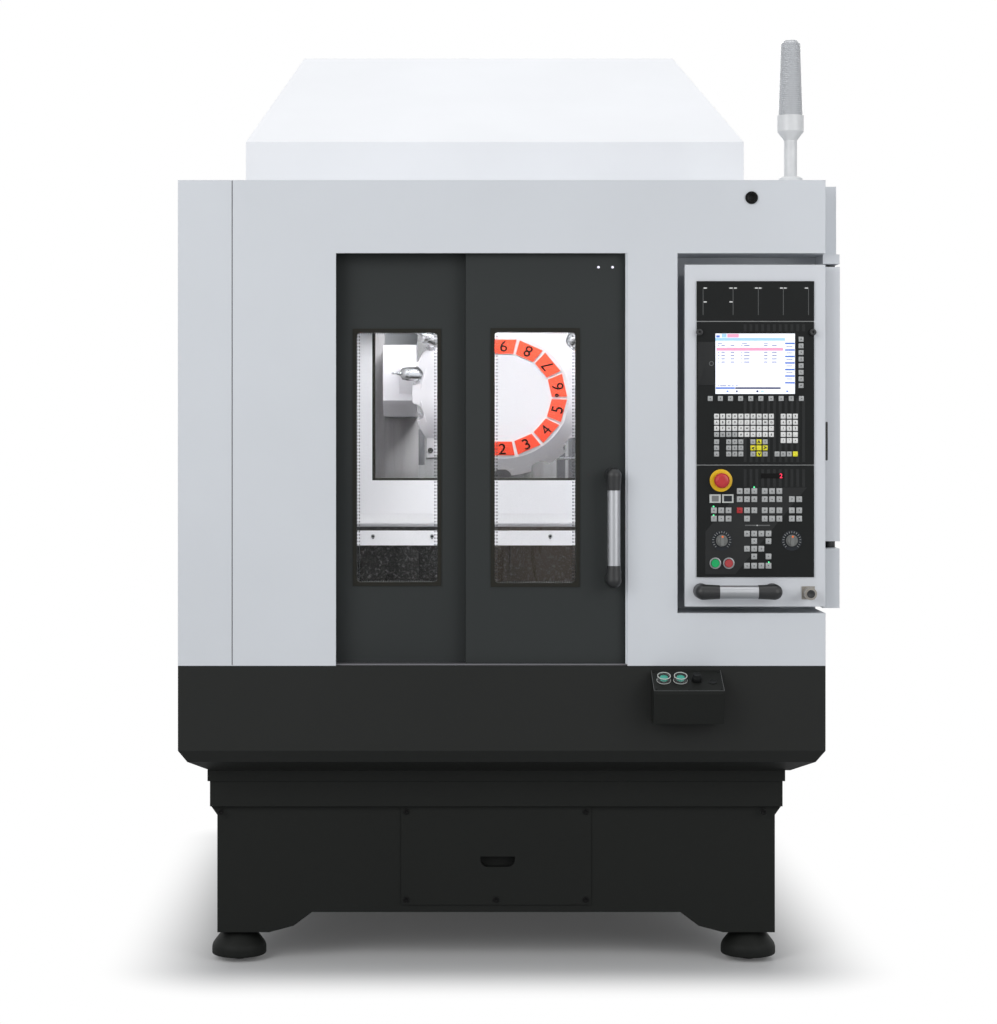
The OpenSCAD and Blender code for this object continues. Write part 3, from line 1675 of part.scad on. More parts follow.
module work_table() {
    table_x = [spindle_x - table_l / 2, spindle_x + table_l / 2];
    table_y = [spindle_y - table_w / 2, spindle_y + table_w / 2];
    color("#74777b")
    difference() {
        block(table_x, table_y, [table_z, table_top]);
        for (side = [-1, 1])
            translate([
                table_x[0] - 1,
                spindle_y + side * saddle_rail_pitch / 2 - rail_w / 2 - run_gap,
                table_z - 1
            ])
                cube([table_l + 2, rail_w + 2 * run_gap, groove + 1]);
        for (i = [-1 : 1])
            translate([table_x[0] - 1, spindle_y + i * slot_pitch, 0]) {
                translate([0, -slot_w / 2, table_top - slot_neck])
                    cube([table_l + 2, slot_w, slot_neck + 1]);
                translate([0, -slot_wide_w / 2, table_top - slot_neck - slot_wide_h])
                    cube([table_l + 2, slot_wide_w, slot_wide_h]);
            }
    }
}

base_frame();
levelling_feet();
base_access_panel();
splash_tray();
bed();
column();
corner_panel();
front_fascia();
left_side_panel();
right_side_panel();
roof_panel();
top_hood();
signal_tower_stem();
signal_tower_lens();
door_rails();
chamber_liner();
inner_guard();
work_light();
electrical_cabinet();
control_box();
panel_hinges();
magazine_arm();
door_left_panel();
door_left_gasket();
door_left_window();
door_right_panel();
door_right_gasket();
door_right_window();
door_handle_ends();
door_handle_grip();
panel_shell();
blank_unit();
display_unit();
display_screen();
control_unit();
panel_keys();
panel_handle_ends();
panel_handle_grip();
data_socket();
emergency_stop();
start_button();
stop_button();
lamp_button_left();
lamp_button_right();
feed_dial();
speed_dial();
box_button_left();
box_button_right();
box_selector();
spindle_head();
spindle_motor();
spindle_shaft();
turret_disc();
number_tiles();
tool_holders();
saddle();
work_table();
cabinet_door();
main_switch();
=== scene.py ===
# %% [markdown]
# # Dressing a drilling and tapping centre
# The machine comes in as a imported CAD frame: every sheet, casting and moving body is already at its real
# size and place, in metres. This lesson gives each surface its finish and models the small things that make
# a machine look real: printed digits, key caps, bezels, screws, a lit screen. Nothing from the frame is
# moved.

# %% Load the frame
import math

import bmesh
import bpy
from mathutils import Matrix, Vector


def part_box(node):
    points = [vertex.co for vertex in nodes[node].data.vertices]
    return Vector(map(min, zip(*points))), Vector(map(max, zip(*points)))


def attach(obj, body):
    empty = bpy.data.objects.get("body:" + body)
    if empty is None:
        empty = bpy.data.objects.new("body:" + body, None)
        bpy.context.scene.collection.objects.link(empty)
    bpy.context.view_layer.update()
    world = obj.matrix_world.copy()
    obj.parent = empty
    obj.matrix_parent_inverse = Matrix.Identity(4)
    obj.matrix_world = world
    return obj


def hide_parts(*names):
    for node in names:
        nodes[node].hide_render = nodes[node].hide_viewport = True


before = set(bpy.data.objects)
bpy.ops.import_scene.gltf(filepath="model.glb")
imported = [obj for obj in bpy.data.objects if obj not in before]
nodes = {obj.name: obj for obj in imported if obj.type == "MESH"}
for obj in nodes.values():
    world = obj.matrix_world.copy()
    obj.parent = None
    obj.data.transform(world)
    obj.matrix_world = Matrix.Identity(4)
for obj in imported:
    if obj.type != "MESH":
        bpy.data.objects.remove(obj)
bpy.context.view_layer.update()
bpy.ops.object.select_all(action="DESELECT")

# %% [markdown]
# ## The camera
# The photograph was taken level, at about a grown person's breast height, with the frame shifted down and
# to the right of the lens's axis. A shifted lens keeps all uprights parallel, so the shift is set instead
# of a tilt. The fascia's front shows 2.6 mm of machine for each pixel, which fixes the focal length once
# the distance is chosen.

# %% Camera at the photograph's place
IMAGE = (997, 1024)
LENS_AXIS = (430, 432)
METRES_PER_PIXEL = 0.0026
DISTANCE = 6.2
SENSOR = 36
FASCIA_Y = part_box("front_fascia")[0].y
EYE = (-0.2145, FASCIA_Y - DISTANCE, 1.417)

bpy.ops.object.camera_add(location=EYE, rotation=(math.radians(90), 0, 0))
camera = bpy.context.object
camera.data.sensor_width = SENSOR
camera.data.lens = SENSOR * DISTANCE / METRES_PER_PIXEL / max(IMAGE)
camera.data.shift_x = (IMAGE[0] / 2 - LENS_AXIS[0]) / max(IMAGE)
camera.data.shift_y = (LENS_AXIS[1] - IMAGE[1] / 2) / max(IMAGE)
bpy.context.scene.camera = camera
shift = (round(camera.data.shift_x, 3), round(camera.data.shift_y, 3))
print("lens", round(camera.data.lens, 1), "mm, shift", *shift)

# %% [markdown]
# ## Node helpers
# A procedural material is a small graph. Two helpers keep the graphs readable: one adds a node and sets its
# sockets, the other joins two sockets. Values that are the same all over a surface go straight on the
# shader's own sockets.


# %% Helpers that add and join material nodes
def add_node(tree, kind, values=None, **settings):
    node = tree.nodes.new(kind)
    for name, value in settings.items():
        setattr(node, name, value)
    for socket, value in (values or {}).items():
        node.inputs[socket].default_value = value
    return node


def join(tree, source, socket_out, target, socket_in):
    tree.links.new(source.outputs[socket_out], target.inputs[socket_in])


def new_finish(name):
    finish = bpy.data.materials.new(name)
    finish.use_nodes = True
    tree = finish.node_tree
    return finish, tree, tree.nodes["Principled BSDF"], add_node(tree, "ShaderNodeTexCoord")


def shade(colour, factor):
    return (*(min(1.0, c * factor) for c in colour), 1.0)


print("helpers ready")

# %% [markdown]
# ## Light, floor and background
# The photograph is a studio cut-out: even soft light from the front and above, a white ground and a soft
# shadow under the base. Big area lamps give the even light. The floor is a real pale plane that takes the
# shadow near the machine and fades into plain white further out, so no horizon shows.

# %% Studio world
world = bpy.data.worlds.new("studio")
bpy.context.scene.world = world
world.use_nodes = True
tree = world.node_tree
ambient = tree.nodes["Background"]
ambient.inputs["Color"].default_value = (0.93, 0.96, 1.0, 1.0)
ambient.inputs["Strength"].default_value = 0.33
white = add_node(tree, "ShaderNodeBackground", {"Color": (1, 1, 1, 1), "Strength": 1.0})
rays = add_node(tree, "ShaderNodeLightPath")
seen = add_node(tree, "ShaderNodeMath", operation="MAXIMUM")
mirrored = add_node(tree, "ShaderNodeMath", operation="MAXIMUM")
choose = add_node(tree, "ShaderNodeMixShader")
join(tree, rays, "Is Glossy Ray", mirrored, 0)
join(tree, rays, "Is Transmission Ray", mirrored, 1)
join(tree, rays, "Is Camera Ray", seen, 0)
join(tree, mirrored, 0, seen, 1)
join(tree, seen, 0, choose, 0)
join(tree, ambient, 0, choose, 1)
join(tree, white, 0, choose, 2)
join(tree, choose, 0, tree.nodes["World Output"], 0)
bpy.context.scene.view_settings.view_transform = "Standard"
print("world made")


# %% [markdown]
# A soft box is a big rectangular area lamp. A point lamp or a sun would throw hard shadows, so boxes are
# used: two in front, one above and one behind.


# %% Soft boxes
def soft_box(name, place, target, size, watts):
    bpy.ops.object.light_add(type="AREA", location=place)
    lamp = bpy.context.object
    lamp.name = name
    lamp.data.shape = "RECTANGLE"
    lamp.data.size, lamp.data.size_y = size
    lamp.data.energy = watts
    lamp.rotation_euler = (Vector(target) - Vector(place)).to_track_quat("-Z", "Y").to_euler()
    return lamp


soft_box("front_left_box", place=(-3.4, -5.2, 3.2), target=(0.0, -0.9, 1.3), size=(3.0, 3.0), watts=116)
soft_box("front_right_box", place=(3.6, -5.0, 2.6), target=(0.0, -0.9, 1.3), size=(3.0, 3.0), watts=78)
soft_box("top_box", place=(0.0, -0.6, 5.6), target=(0.0, 0.0, 2.0), size=(4.0, 4.0), watts=84)
soft_box("rear_box", place=(1.5, 5.5, 3.4), target=(0.0, 0.8, 1.3), size=(3.0, 3.0), watts=90)
print("4 soft boxes")

# %% [markdown]
# The photograph's ground has no edge. Plain paint on a plane would end in a horizon, so the material mixes
# in white by the distance from the machine's footprint. Only the camera sees that white: other rays still
# meet the paint.

# %% Floor that fades into white
FADE_WIDTH = 0.37
FLOOR_LIFT = 0.06
FOOTPRINT_MIDDLE, FOOTPRINT_HALF = (-0.03, 0.0, 0.0), (0.70, 1.0, 0.0)
bpy.ops.mesh.primitive_plane_add(size=30)
floor = bpy.context.object
floor.name = "studio_floor"
floor_paint, tree, shader, coords = new_finish("floor_paint")
shader.inputs["Base Color"].default_value = (0.72, 0.72, 0.72, 1)
shader.inputs["Roughness"].default_value = 0.85
shader.inputs["Specular IOR Level"].default_value = 0.1
centred = add_node(tree, "ShaderNodeVectorMath", {1: FOOTPRINT_MIDDLE}, operation="SUBTRACT")
mirrored = add_node(tree, "ShaderNodeVectorMath", operation="ABSOLUTE")
outside = add_node(tree, "ShaderNodeVectorMath", {1: FOOTPRINT_HALF}, operation="SUBTRACT")
beyond = add_node(tree, "ShaderNodeVectorMath", {1: (0, 0, 0)}, operation="MAXIMUM")
reach = add_node(tree, "ShaderNodeVectorMath", operation="LENGTH")
fade = add_node(tree, "ShaderNodeMapRange", {"From Max": FADE_WIDTH, "To Min": FLOOR_LIFT},
                interpolation_type="SMOOTHSTEP")
rays = add_node(tree, "ShaderNodeLightPath")
only_seen = add_node(tree, "ShaderNodeMath", operation="MULTIPLY")
glow = add_node(tree, "ShaderNodeEmission", {"Color": (1, 1, 1, 1), "Strength": 1.0})
choose = add_node(tree, "ShaderNodeMixShader")
join(tree, coords, "Object", centred, 0)
join(tree, centred, "Vector", mirrored, 0)
join(tree, mirrored, "Vector", outside, 0)
join(tree, outside, "Vector", beyond, 0)
join(tree, beyond, "Vector", reach, 0)
join(tree, reach, "Value", fade, "Value")
join(tree, fade, "Result", only_seen, 0)
join(tree, rays, "Is Camera Ray", only_seen, 1)
join(tree, only_seen, 0, choose, 0)
join(tree, shader, 0, choose, 1)
join(tree, glow, 0, choose, 2)
join(tree, choose, 0, tree.nodes["Material Output"], 0)
floor.data.materials.append(floor_paint)
print("floor fades to white over", FADE_WIDTH, "m around the base")

# %% [markdown]
# ## Powder coats
# Nearly everything outside is powder-coated sheet. Close up, powder coat is never smooth: it has an orange
# peel of about a millimetre, slow patches of tone, and a slightly brighter line where a bend catches the
# light. One function makes all coats; colour, grain and gloss tell them apart. A bevel node rounds the
# shading of the sharp CAD edges.


# %% Powder coat
def powder_coat(name, colour, rough, grain, relief, gloss=0.5, tone=0.05, edge=0.0015):
    finish, tree, shader, coords = new_finish(name)
    peel = add_node(tree, "ShaderNodeTexNoise", {"Scale": grain, "Detail": 3.0, "Roughness": 0.6})
    patch = add_node(tree, "ShaderNodeTexNoise", {"Scale": 2.3, "Detail": 4.0})
    bend = add_node(tree, "ShaderNodeBevel", {"Radius": edge}, samples=4)
    bump = add_node(tree, "ShaderNodeBump", {"Strength": relief, "Distance": 0.0004})
    spread = add_node(tree, "ShaderNodeMapRange", {"To Min": rough - 0.06, "To Max": rough + 0.06})
    mix = add_node(tree, "ShaderNodeMix", data_type="RGBA")
    mix.inputs["A"].default_value = shade(colour, 1 - tone)
    mix.inputs["B"].default_value = shade(colour, 1 + tone)
    join(tree, coords, "Object", peel, "Vector")
    join(tree, coords, "Object", patch, "Vector")
    join(tree, patch, "Fac", mix, "Factor")
    join(tree, mix, "Result", shader, "Base Color")
    join(tree, peel, "Fac", spread, "Value")
    join(tree, spread, "Result", shader, "Roughness")
    join(tree, peel, "Fac", bump, "Height")
    join(tree, bend, "Normal", bump, "Normal")
    join(tree, bump, "Normal", shader, "Normal")
    shader.inputs["Specular IOR Level"].default_value = gloss
    return finish


panel_grey = powder_coat("panel_grey", (0.66, 0.685, 0.72), rough=0.45, grain=420, relief=0.08)
pod_grey = powder_coat("pod_grey", (0.68, 0.70, 0.735), rough=0.42, grain=420, relief=0.08)
hood_white = powder_coat("hood_white", (0.84, 0.85, 0.875), rough=0.45, grain=420, relief=0.07)
door_charcoal = powder_coat("door_charcoal", (0.024, 0.0275, 0.0275), rough=0.52, grain=700, relief=0.35,
                            gloss=0.25, tone=0.12)
tray_black = powder_coat("tray_black", (0.0125, 0.0135, 0.0125), rough=0.55, grain=620, relief=0.5,
                         gloss=0.22, tone=0.15)
base_black = powder_coat("base_black", (0.0085, 0.0095, 0.0085), rough=0.6, grain=480, relief=0.6,
                         gloss=0.18, tone=0.2)
motor_black = powder_coat("motor_black", (0.02, 0.02, 0.022), rough=0.4, grain=300, relief=0.2)
chamber_white = powder_coat("chamber_white", (0.78, 0.77, 0.80), rough=0.28, grain=300, relief=0.06)
print("8 powder coats")

# %% [markdown]
# ## Wet chamber walls
# Behind the guard the walls are splashed with coolant all day. The paint there is grey with long vertical
# runs, some darker and glossier than the rest. Noise stretched along Z makes the runs. Towards the
# chamber's floor the walls grow darker, to near black on the left and rust brown on the right, with a few
# bright specks: a height ramp mixes that in.

# %% Splashed wall paint
# Towards the bottom the walls turn near black on the left and rust brown on the right.
LOW_DARK, RUST = (0.014, 0.015, 0.013, 1), (0.085, 0.068, 0.052, 1)
DARKEST_BELOW, PLAIN_ABOVE = 1.06, 1.34
LOW_DARK_UNTIL, RUST_FROM = -0.2, 0.0


def splashed_paint(name, dry, wet, rough_dry, rough_wet):
    finish, tree, shader, coords = new_finish(name)
    split = add_node(tree, "ShaderNodeSeparateXYZ")
    height = add_node(tree, "ShaderNodeMapRange", {"From Min": DARKEST_BELOW, "From Max": PLAIN_ABOVE},
                      interpolation_type="SMOOTHSTEP")
    grit = add_node(tree, "ShaderNodeTexNoise", {"Scale": 110.0, "Detail": 4.0, "Roughness": 0.8})
    specks = add_node(tree, "ShaderNodeMapRange", {"From Min": 0.53, "From Max": 0.66, "To Max": 0.6})
    wall_share = add_node(tree, "ShaderNodeMath", operation="MAXIMUM")
    bottom_mix = add_node(tree, "ShaderNodeMix", data_type="RGBA")
    across = add_node(tree, "ShaderNodeMapRange", {"From Min": LOW_DARK_UNTIL, "From Max": RUST_FROM},
                      interpolation_type="SMOOTHSTEP")
    low_colour = add_node(tree, "ShaderNodeMix", data_type="RGBA")
    low_colour.inputs["A"].default_value = LOW_DARK
    low_colour.inputs["B"].default_value = RUST
    stretch = add_node(tree, "ShaderNodeMapping", {"Scale": (14.0, 14.0, 1.6)})
    runs = add_node(tree, "ShaderNodeTexNoise", {"Scale": 1.0, "Detail": 6.0, "Roughness": 0.65})
    drops = add_node(tree, "ShaderNodeTexVoronoi", {"Scale": 160.0})
    where = add_node(tree, "ShaderNodeMapRange", {"From Min": 0.42, "From Max": 0.62})
    mix = add_node(tree, "ShaderNodeMix", data_type="RGBA")
    mix.inputs["A"].default_value = (*dry, 1)
    mix.inputs["B"].default_value = (*wet, 1)
    sheen = add_node(tree, "ShaderNodeMapRange", {"To Min": rough_dry, "To Max": rough_wet})
    bump = add_node(tree, "ShaderNodeBump", {"Strength": 0.15, "Distance": 0.0006})
    join(tree, coords, "Object", stretch, "Vector")
    join(tree, stretch, "Vector", runs, "Vector")
    join(tree, coords, "Object", drops, "Vector")
    join(tree, runs, "Fac", where, "Value")
    join(tree, where, "Result", mix, "Factor")
    join(tree, coords, "Object", split, 0)
    join(tree, split, "Z", height, "Value")
    join(tree, coords, "Object", grit, "Vector")
    join(tree, grit, "Fac", specks, "Value")
    join(tree, height, "Result", wall_share, 0)
    join(tree, specks, "Result", wall_share, 1)
    join(tree, split, "X", across, "Value")
    join(tree, across, "Result", low_colour, "Factor")
    join(tree, low_colour, "Result", bottom_mix, "A")
    join(tree, wall_share, 0, bottom_mix, "Factor")
    join(tree, mix, "Result", bottom_mix, "B")
    join(tree, bottom_mix, "Result", shader, "Base Color")
    join(tree, where, "Result", sheen, "Value")
    join(tree, sheen, "Result", shader, "Roughness")
    join(tree, drops, "Distance", bump, "Height")
    join(tree, bump, "Normal", shader, "Normal")
    return finish


wall_grey = splashed_paint("wall_grey", dry=(0.33, 0.322, 0.33), wet=(0.24, 0.235, 0.24), rough_dry=0.42,
                           rough_wet=0.25)
casting_grey = splashed_paint("casting_grey", dry=(0.32, 0.32, 0.33), wet=(0.23, 0.23, 0.235),
                              rough_dry=0.45, rough_wet=0.25)
print("2 splashed paints")

# %% [markdown]
# ## Bare metals
# The table, rails and tool holders are ground steel, the grips are satin aluminium. Grinding leaves fine
# parallel lines, so the noise is squeezed across the grinding direction and drives both the roughness and a
# faint bump.


# %% Ground and turned metal
def ground_metal(name, colour, rough, stretch_by, relief=0.08):
    finish, tree, shader, coords = new_finish(name)
    stretch = add_node(tree, "ShaderNodeMapping", {"Scale": stretch_by})
    lines = add_node(tree, "ShaderNodeTexNoise", {"Scale": 1.0, "Detail": 5.0, "Roughness": 0.7})
    stains = add_node(tree, "ShaderNodeTexNoise", {"Scale": 9.0, "Detail": 3.0})
    spread = add_node(tree, "ShaderNodeMapRange", {"To Min": rough - 0.08, "To Max": rough + 0.1})
    mix = add_node(tree, "ShaderNodeMix", data_type="RGBA")
    mix.inputs["A"].default_value = shade(colour, 0.86)
    mix.inputs["B"].default_value = shade(colour, 1.06)
    bump = add_node(tree, "ShaderNodeBump", {"Strength": relief, "Distance": 0.0002})
    join(tree, coords, "Object", stretch, "Vector")
    join(tree, stretch, "Vector", lines, "Vector")
    join(tree, coords, "Object", stains, "Vector")
    join(tree, lines, "Fac", spread, "Value")
    join(tree, spread, "Result", shader, "Roughness")
    join(tree, stains, "Fac", mix, "Factor")
    join(tree, mix, "Result", shader, "Base Color")
    join(tree, lines, "Fac", bump, "Height")
    join(tree, bump, "Normal", shader, "Normal")
    shader.inputs["Metallic"].default_value = 1.0
    return finish


table_steel = ground_metal("table_steel", (0.55, 0.56, 0.57), rough=0.32, stretch_by=(6.0, 900.0, 900.0))
turned_steel = ground_metal("turned_steel", (0.60, 0.61, 0.62), rough=0.24, stretch_by=(700.0, 700.0, 700.0))
sill_steel = ground_metal("sill_steel", (0.26, 0.26, 0.28), rough=0.4, stretch_by=(5.0, 800.0, 800.0))
grip_satin = ground_metal("grip_satin", (0.41, 0.42, 0.44), rough=0.40, stretch_by=(900.0, 900.0, 900.0),
                          relief=0.04)
nickel = ground_metal("nickel", (0.36, 0.34, 0.31), rough=0.30, stretch_by=(600.0, 600.0, 600.0))
bezel_steel = ground_metal("bezel_steel", (0.34, 0.35, 0.36), rough=0.3, stretch_by=(700.0, 700.0, 700.0))
print("6 bare metals")

# %% [markdown]
# ## Plastics, rubber and print
# Moulded parts share a fine spark-eroded grain. Push buttons are smoother and a little clear, so light
# seems to sink into them: a small subsurface share does that.


# %% Moulded plastic
def moulded(name, colour, rough, grain=900, relief=0.12, gloss=0.5, deep=0.0, glow=0.0):
    finish, tree, shader, coords = new_finish(name)
    spark = add_node(tree, "ShaderNodeTexNoise", {"Scale": grain, "Detail": 2.0})
    patch = add_node(tree, "ShaderNodeTexNoise", {"Scale": 40.0, "Detail": 3.0})
    mix = add_node(tree, "ShaderNodeMix", data_type="RGBA")
    mix.inputs["A"].default_value = shade(colour, 0.9)
    mix.inputs["B"].default_value = shade(colour, 1.1)
    spread = add_node(tree, "ShaderNodeMapRange", {"To Min": rough - 0.05, "To Max": rough + 0.07})
    bump = add_node(tree, "ShaderNodeBump", {"Strength": relief, "Distance": 0.0002})
    bend = add_node(tree, "ShaderNodeBevel", {"Radius": 0.0008}, samples=4)
    join(tree, coords, "Object", spark, "Vector")
    join(tree, coords, "Object", patch, "Vector")
    join(tree, patch, "Fac", mix, "Factor")
    join(tree, mix, "Result", shader, "Base Color")
    join(tree, spark, "Fac", spread, "Value")
    join(tree, spread, "Result", shader, "Roughness")
    join(tree, spark, "Fac", bump, "Height")
    join(tree, bend, "Normal", bump, "Normal")
    join(tree, bump, "Normal", shader, "Normal")
    shader.inputs["Specular IOR Level"].default_value = gloss
    shader.inputs["Subsurface Weight"].default_value = deep
    shader.inputs["Subsurface Radius"].default_value = (0.004, 0.004, 0.004)
    if glow:
        shader.inputs["Emission Color"].default_value = (*colour, 1)
        shader.inputs["Emission Strength"].default_value = glow
    return finish


black_plastic = moulded("black_plastic", (0.012, 0.013, 0.014), rough=0.42)
unit_black = moulded("unit_black", (0.0095, 0.0105, 0.0105), rough=0.5, grain=1200, relief=0.15, gloss=0.15)
gasket_rubber = moulded("gasket_rubber", (0.010, 0.0095, 0.006), rough=0.6, grain=500, relief=0.2, gloss=0.25)
tower_white = moulded("tower_white", (0.72, 0.73, 0.74), rough=0.35)
key_white = moulded("key_white", (0.78, 0.78, 0.77), rough=0.4)
key_grey = moulded("key_grey", (0.40, 0.41, 0.41), rough=0.4)
key_yellow = moulded("key_yellow", (0.80, 0.74, 0.02), rough=0.4)
key_red = moulded("key_red", (0.42, 0.015, 0.02), rough=0.4)
key_machine = moulded("key_machine", (0.40, 0.41, 0.41), rough=0.4)
scale_blue = moulded("scale_blue", (0.016, 0.019, 0.024), rough=0.4, gloss=0.25)
dark_window = moulded("dark_window", (0.004, 0.004, 0.004), rough=0.3, gloss=0.12)
field_black = moulded("field_black", (0.024, 0.025, 0.0255), rough=0.5, grain=1200, relief=0.15, gloss=0.15)
line_grey = moulded("line_grey", (0.11, 0.115, 0.115), rough=0.5)
joint_dark = moulded("joint_dark", (0.10, 0.10, 0.11), rough=0.6)
screw_black = moulded("screw_black", (0.016, 0.016, 0.017), rough=0.35, grain=300)
legend_black = moulded("legend_black", (0.02, 0.02, 0.022), rough=0.55)
legend_white = moulded("legend_white", (0.80, 0.80, 0.80), rough=0.5)
stop_red = moulded("stop_red", (0.50, 0.025, 0.03), rough=0.35, deep=0.1)
ring_yellow = moulded("ring_yellow", (0.82, 0.50, 0.004), rough=0.38)
button_green = moulded("button_green", (0.0, 0.34, 0.10), rough=0.25, deep=0.15, glow=0.15)
button_red = moulded("button_red", (0.42, 0.045, 0.05), rough=0.25, deep=0.15)
lamp_clear = moulded("lamp_clear", (0.55, 0.57, 0.55), rough=0.3, deep=0.1)
box_green = moulded("box_green", (0.05, 0.36, 0.27), rough=0.22, deep=0.15, glow=0.12)
dial_grey = moulded("dial_grey", (0.17, 0.175, 0.17), rough=0.45)
tile_orange = moulded("tile_orange", (0.60, 0.055, 0.025), rough=0.35, grain=300, relief=0.05)
switch_red = moulded("switch_red", (0.50, 0.02, 0.02), rough=0.35)
# The orange dial mark is print, yet it glows a little: painted light.
mark_orange_glow = moulded("mark_orange_glow", (0.80, 0.16, 0.03), rough=0.45, glow=0.2)
lamp_white = moulded("lamp_white", (0.80, 0.76, 0.90), rough=0.3, glow=0.7)
lamp_green = moulded("lamp_green", (0.08, 0.80, 0.30), rough=0.3, glow=1.2)
lamp_red = moulded("lamp_red", (0.90, 0.03, 0.08), rough=0.3, glow=1.5)
print("plastics ready")

# %% [markdown]
# ## Glass with a dotted print
# Each pane has a printed border: rows of small dots that hide the adhesive behind. The dots are a mask in
# the glass material itself. Distance from the nearest cell centre makes dots, and distance from the pane's
# edge says where they are printed. Where the mask is on, the glass turns into matt grey print.


# %% Printed safety glass
def printed_glass(name, node, columns=36, rows=76, dot=0.3):
    low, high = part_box(node)
    step = {"X": (high.x - low.x) / columns, "Z": (high.z - low.z) / rows}
    border = (step["X"] * 2.05, step["Z"] * 1.02)
    finish, tree, shader, coords = new_finish(name)
    split = add_node(tree, "ShaderNodeSeparateXYZ")
    join(tree, coords, "Object", split, 0)

    def cell(axis, middle):
        offset = add_node(tree, "ShaderNodeMath", {1: middle}, operation="SUBTRACT")
        scaled = add_node(tree, "ShaderNodeMath", {1: step[axis]}, operation="DIVIDE")
        part = add_node(tree, "ShaderNodeMath", {1: 1.0}, operation="FLOORED_MODULO")
        centred = add_node(tree, "ShaderNodeMath", {1: 0.5}, operation="SUBTRACT")
        join(tree, split, axis, offset, 0)
        join(tree, offset, 0, scaled, 0)
        join(tree, scaled, 0, part, 0)
        join(tree, part, 0, centred, 0)
        return centred, offset

    middle = (low + high) / 2
    column, from_x = cell("X", middle.x)
    row, from_z = cell("Z", middle.z)
    point = add_node(tree, "ShaderNodeCombineXYZ")
    join(tree, column, 0, point, "X")
    join(tree, row, 0, point, "Z")
    length = add_node(tree, "ShaderNodeVectorMath", operation="LENGTH")
    join(tree, point, 0, length, 0)
    inside = add_node(tree, "ShaderNodeMath", {1: dot}, operation="LESS_THAN")
    join(tree, length, "Value", inside, 0)
    edges = []
    half = (high - low) / 2
    for offset, reach in ((from_x, half.x - border[0]), (from_z, half.z - border[1])):
        size = add_node(tree, "ShaderNodeMath", operation="ABSOLUTE")
        near = add_node(tree, "ShaderNodeMath", {1: reach}, operation="GREATER_THAN")
        join(tree, offset, 0, size, 0)
        join(tree, size, 0, near, 0)
        edges.append(near)
    either = add_node(tree, "ShaderNodeMath", operation="MAXIMUM")
    join(tree, edges[0], 0, either, 0)
    join(tree, edges[1], 0, either, 1)
    mask = add_node(tree, "ShaderNodeMath", operation="MULTIPLY")
    join(tree, inside, 0, mask, 0)
    join(tree, either, 0, mask, 1)
    clear = add_node(tree, "ShaderNodeMapRange", {"To Min": 1.0, "To Max": 0.88})
    rough = add_node(tree, "ShaderNodeMapRange", {"To Min": 0.0, "To Max": 0.25})
    mix = add_node(tree, "ShaderNodeMix", data_type="RGBA")
    mix.inputs["A"].default_value = (0.97, 0.98, 0.985, 1)
    mix.inputs["B"].default_value = (0.42, 0.43, 0.45, 1)
    join(tree, mask, 0, clear, "Value")
    join(tree, mask, 0, rough, "Value")
    join(tree, mask, 0, mix, "Factor")
    join(tree, clear, "Result", shader, "Transmission Weight")
    join(tree, rough, "Result", shader, "Roughness")
    join(tree, mix, "Result", shader, "Base Color")
    shader.inputs["IOR"].default_value = 1.12
    shader.inputs["Specular IOR Level"].default_value = 0.2
    return finish


glass_left = printed_glass("glass_left", "door_left_window")
glass_right = printed_glass("glass_right", "door_right_window")
print("2 printed panes")

# %% [markdown]
# ## The signal lamp's lens
# The lens is clear plastic with fine moulded rings, which spread the light of the lamps inside. A wave
# along Z gives the rings as a bump.

# %% Ringed lens
lens_clear, tree, shader, coords = new_finish("lens_clear")
rings = add_node(tree, "ShaderNodeTexWave", {"Scale": 60.0, "Distortion": 0.0}, bands_direction="Z")
bump = add_node(tree, "ShaderNodeBump", {"Strength": 0.6, "Distance": 0.001})
join(tree, coords, "Object", rings, "Vector")
join(tree, rings, "Fac", bump, "Height")
join(tree, bump, "Normal", shader, "Normal")
shader.inputs["Base Color"].default_value = (0.66, 0.675, 0.70, 1)
shader.inputs["Transmission Weight"].default_value = 0.35
shader.inputs["Roughness"].default_value = 0.12
shader.inputs["IOR"].default_value = 1.35
print("lens made")

# %% [markdown]
# ## Clear shrouds
# Push buttons that must not be pressed by chance stand in clear moulded shrouds. They are a little cloudy
# from the mould and scratched by use, so a noise makes the gloss uneven.

# %% Cloudy clear plastic
shroud_clear, tree, shader, coords = new_finish("shroud_clear")
haze = add_node(tree, "ShaderNodeTexNoise", {"Scale": 320.0, "Detail": 3.0})
spread = add_node(tree, "ShaderNodeMapRange", {"To Min": 0.02, "To Max": 0.14})
join(tree, coords, "Object", haze, "Vector")
join(tree, haze, "Fac", spread, "Value")
join(tree, spread, "Result", shader, "Roughness")
shader.inputs["Base Color"].default_value = (0.94, 0.96, 0.97, 1)
shader.inputs["Transmission Weight"].default_value = 0.95
shader.inputs["IOR"].default_value = 1.15
print("shroud plastic made")

# %% [markdown]
# ## Light diffuser and screen glass
# The work light is a frosted bar, lit from inside. The screen gets a pale, slightly uneven glow; what it
# shows is modelled later as thin plates on it.


# %% Lit surfaces
def lit(name, colour, strength, uneven=0.08):
    finish, tree, shader, coords = new_finish(name)
    cloud = add_node(tree, "ShaderNodeTexNoise", {"Scale": 14.0, "Detail": 2.0})
    mix = add_node(tree, "ShaderNodeMix", data_type="RGBA")
    mix.inputs["A"].default_value = shade(colour, 1 - uneven)
    mix.inputs["B"].default_value = shade(colour, 1.0)
    join(tree, coords, "Object", cloud, "Vector")
    join(tree, cloud, "Fac", mix, "Factor")
    join(tree, mix, "Result", shader, "Emission Color")
    join(tree, mix, "Result", shader, "Base Color")
    shader.inputs["Emission Strength"].default_value = strength
    shader.inputs["Roughness"].default_value = 0.3
    return finish


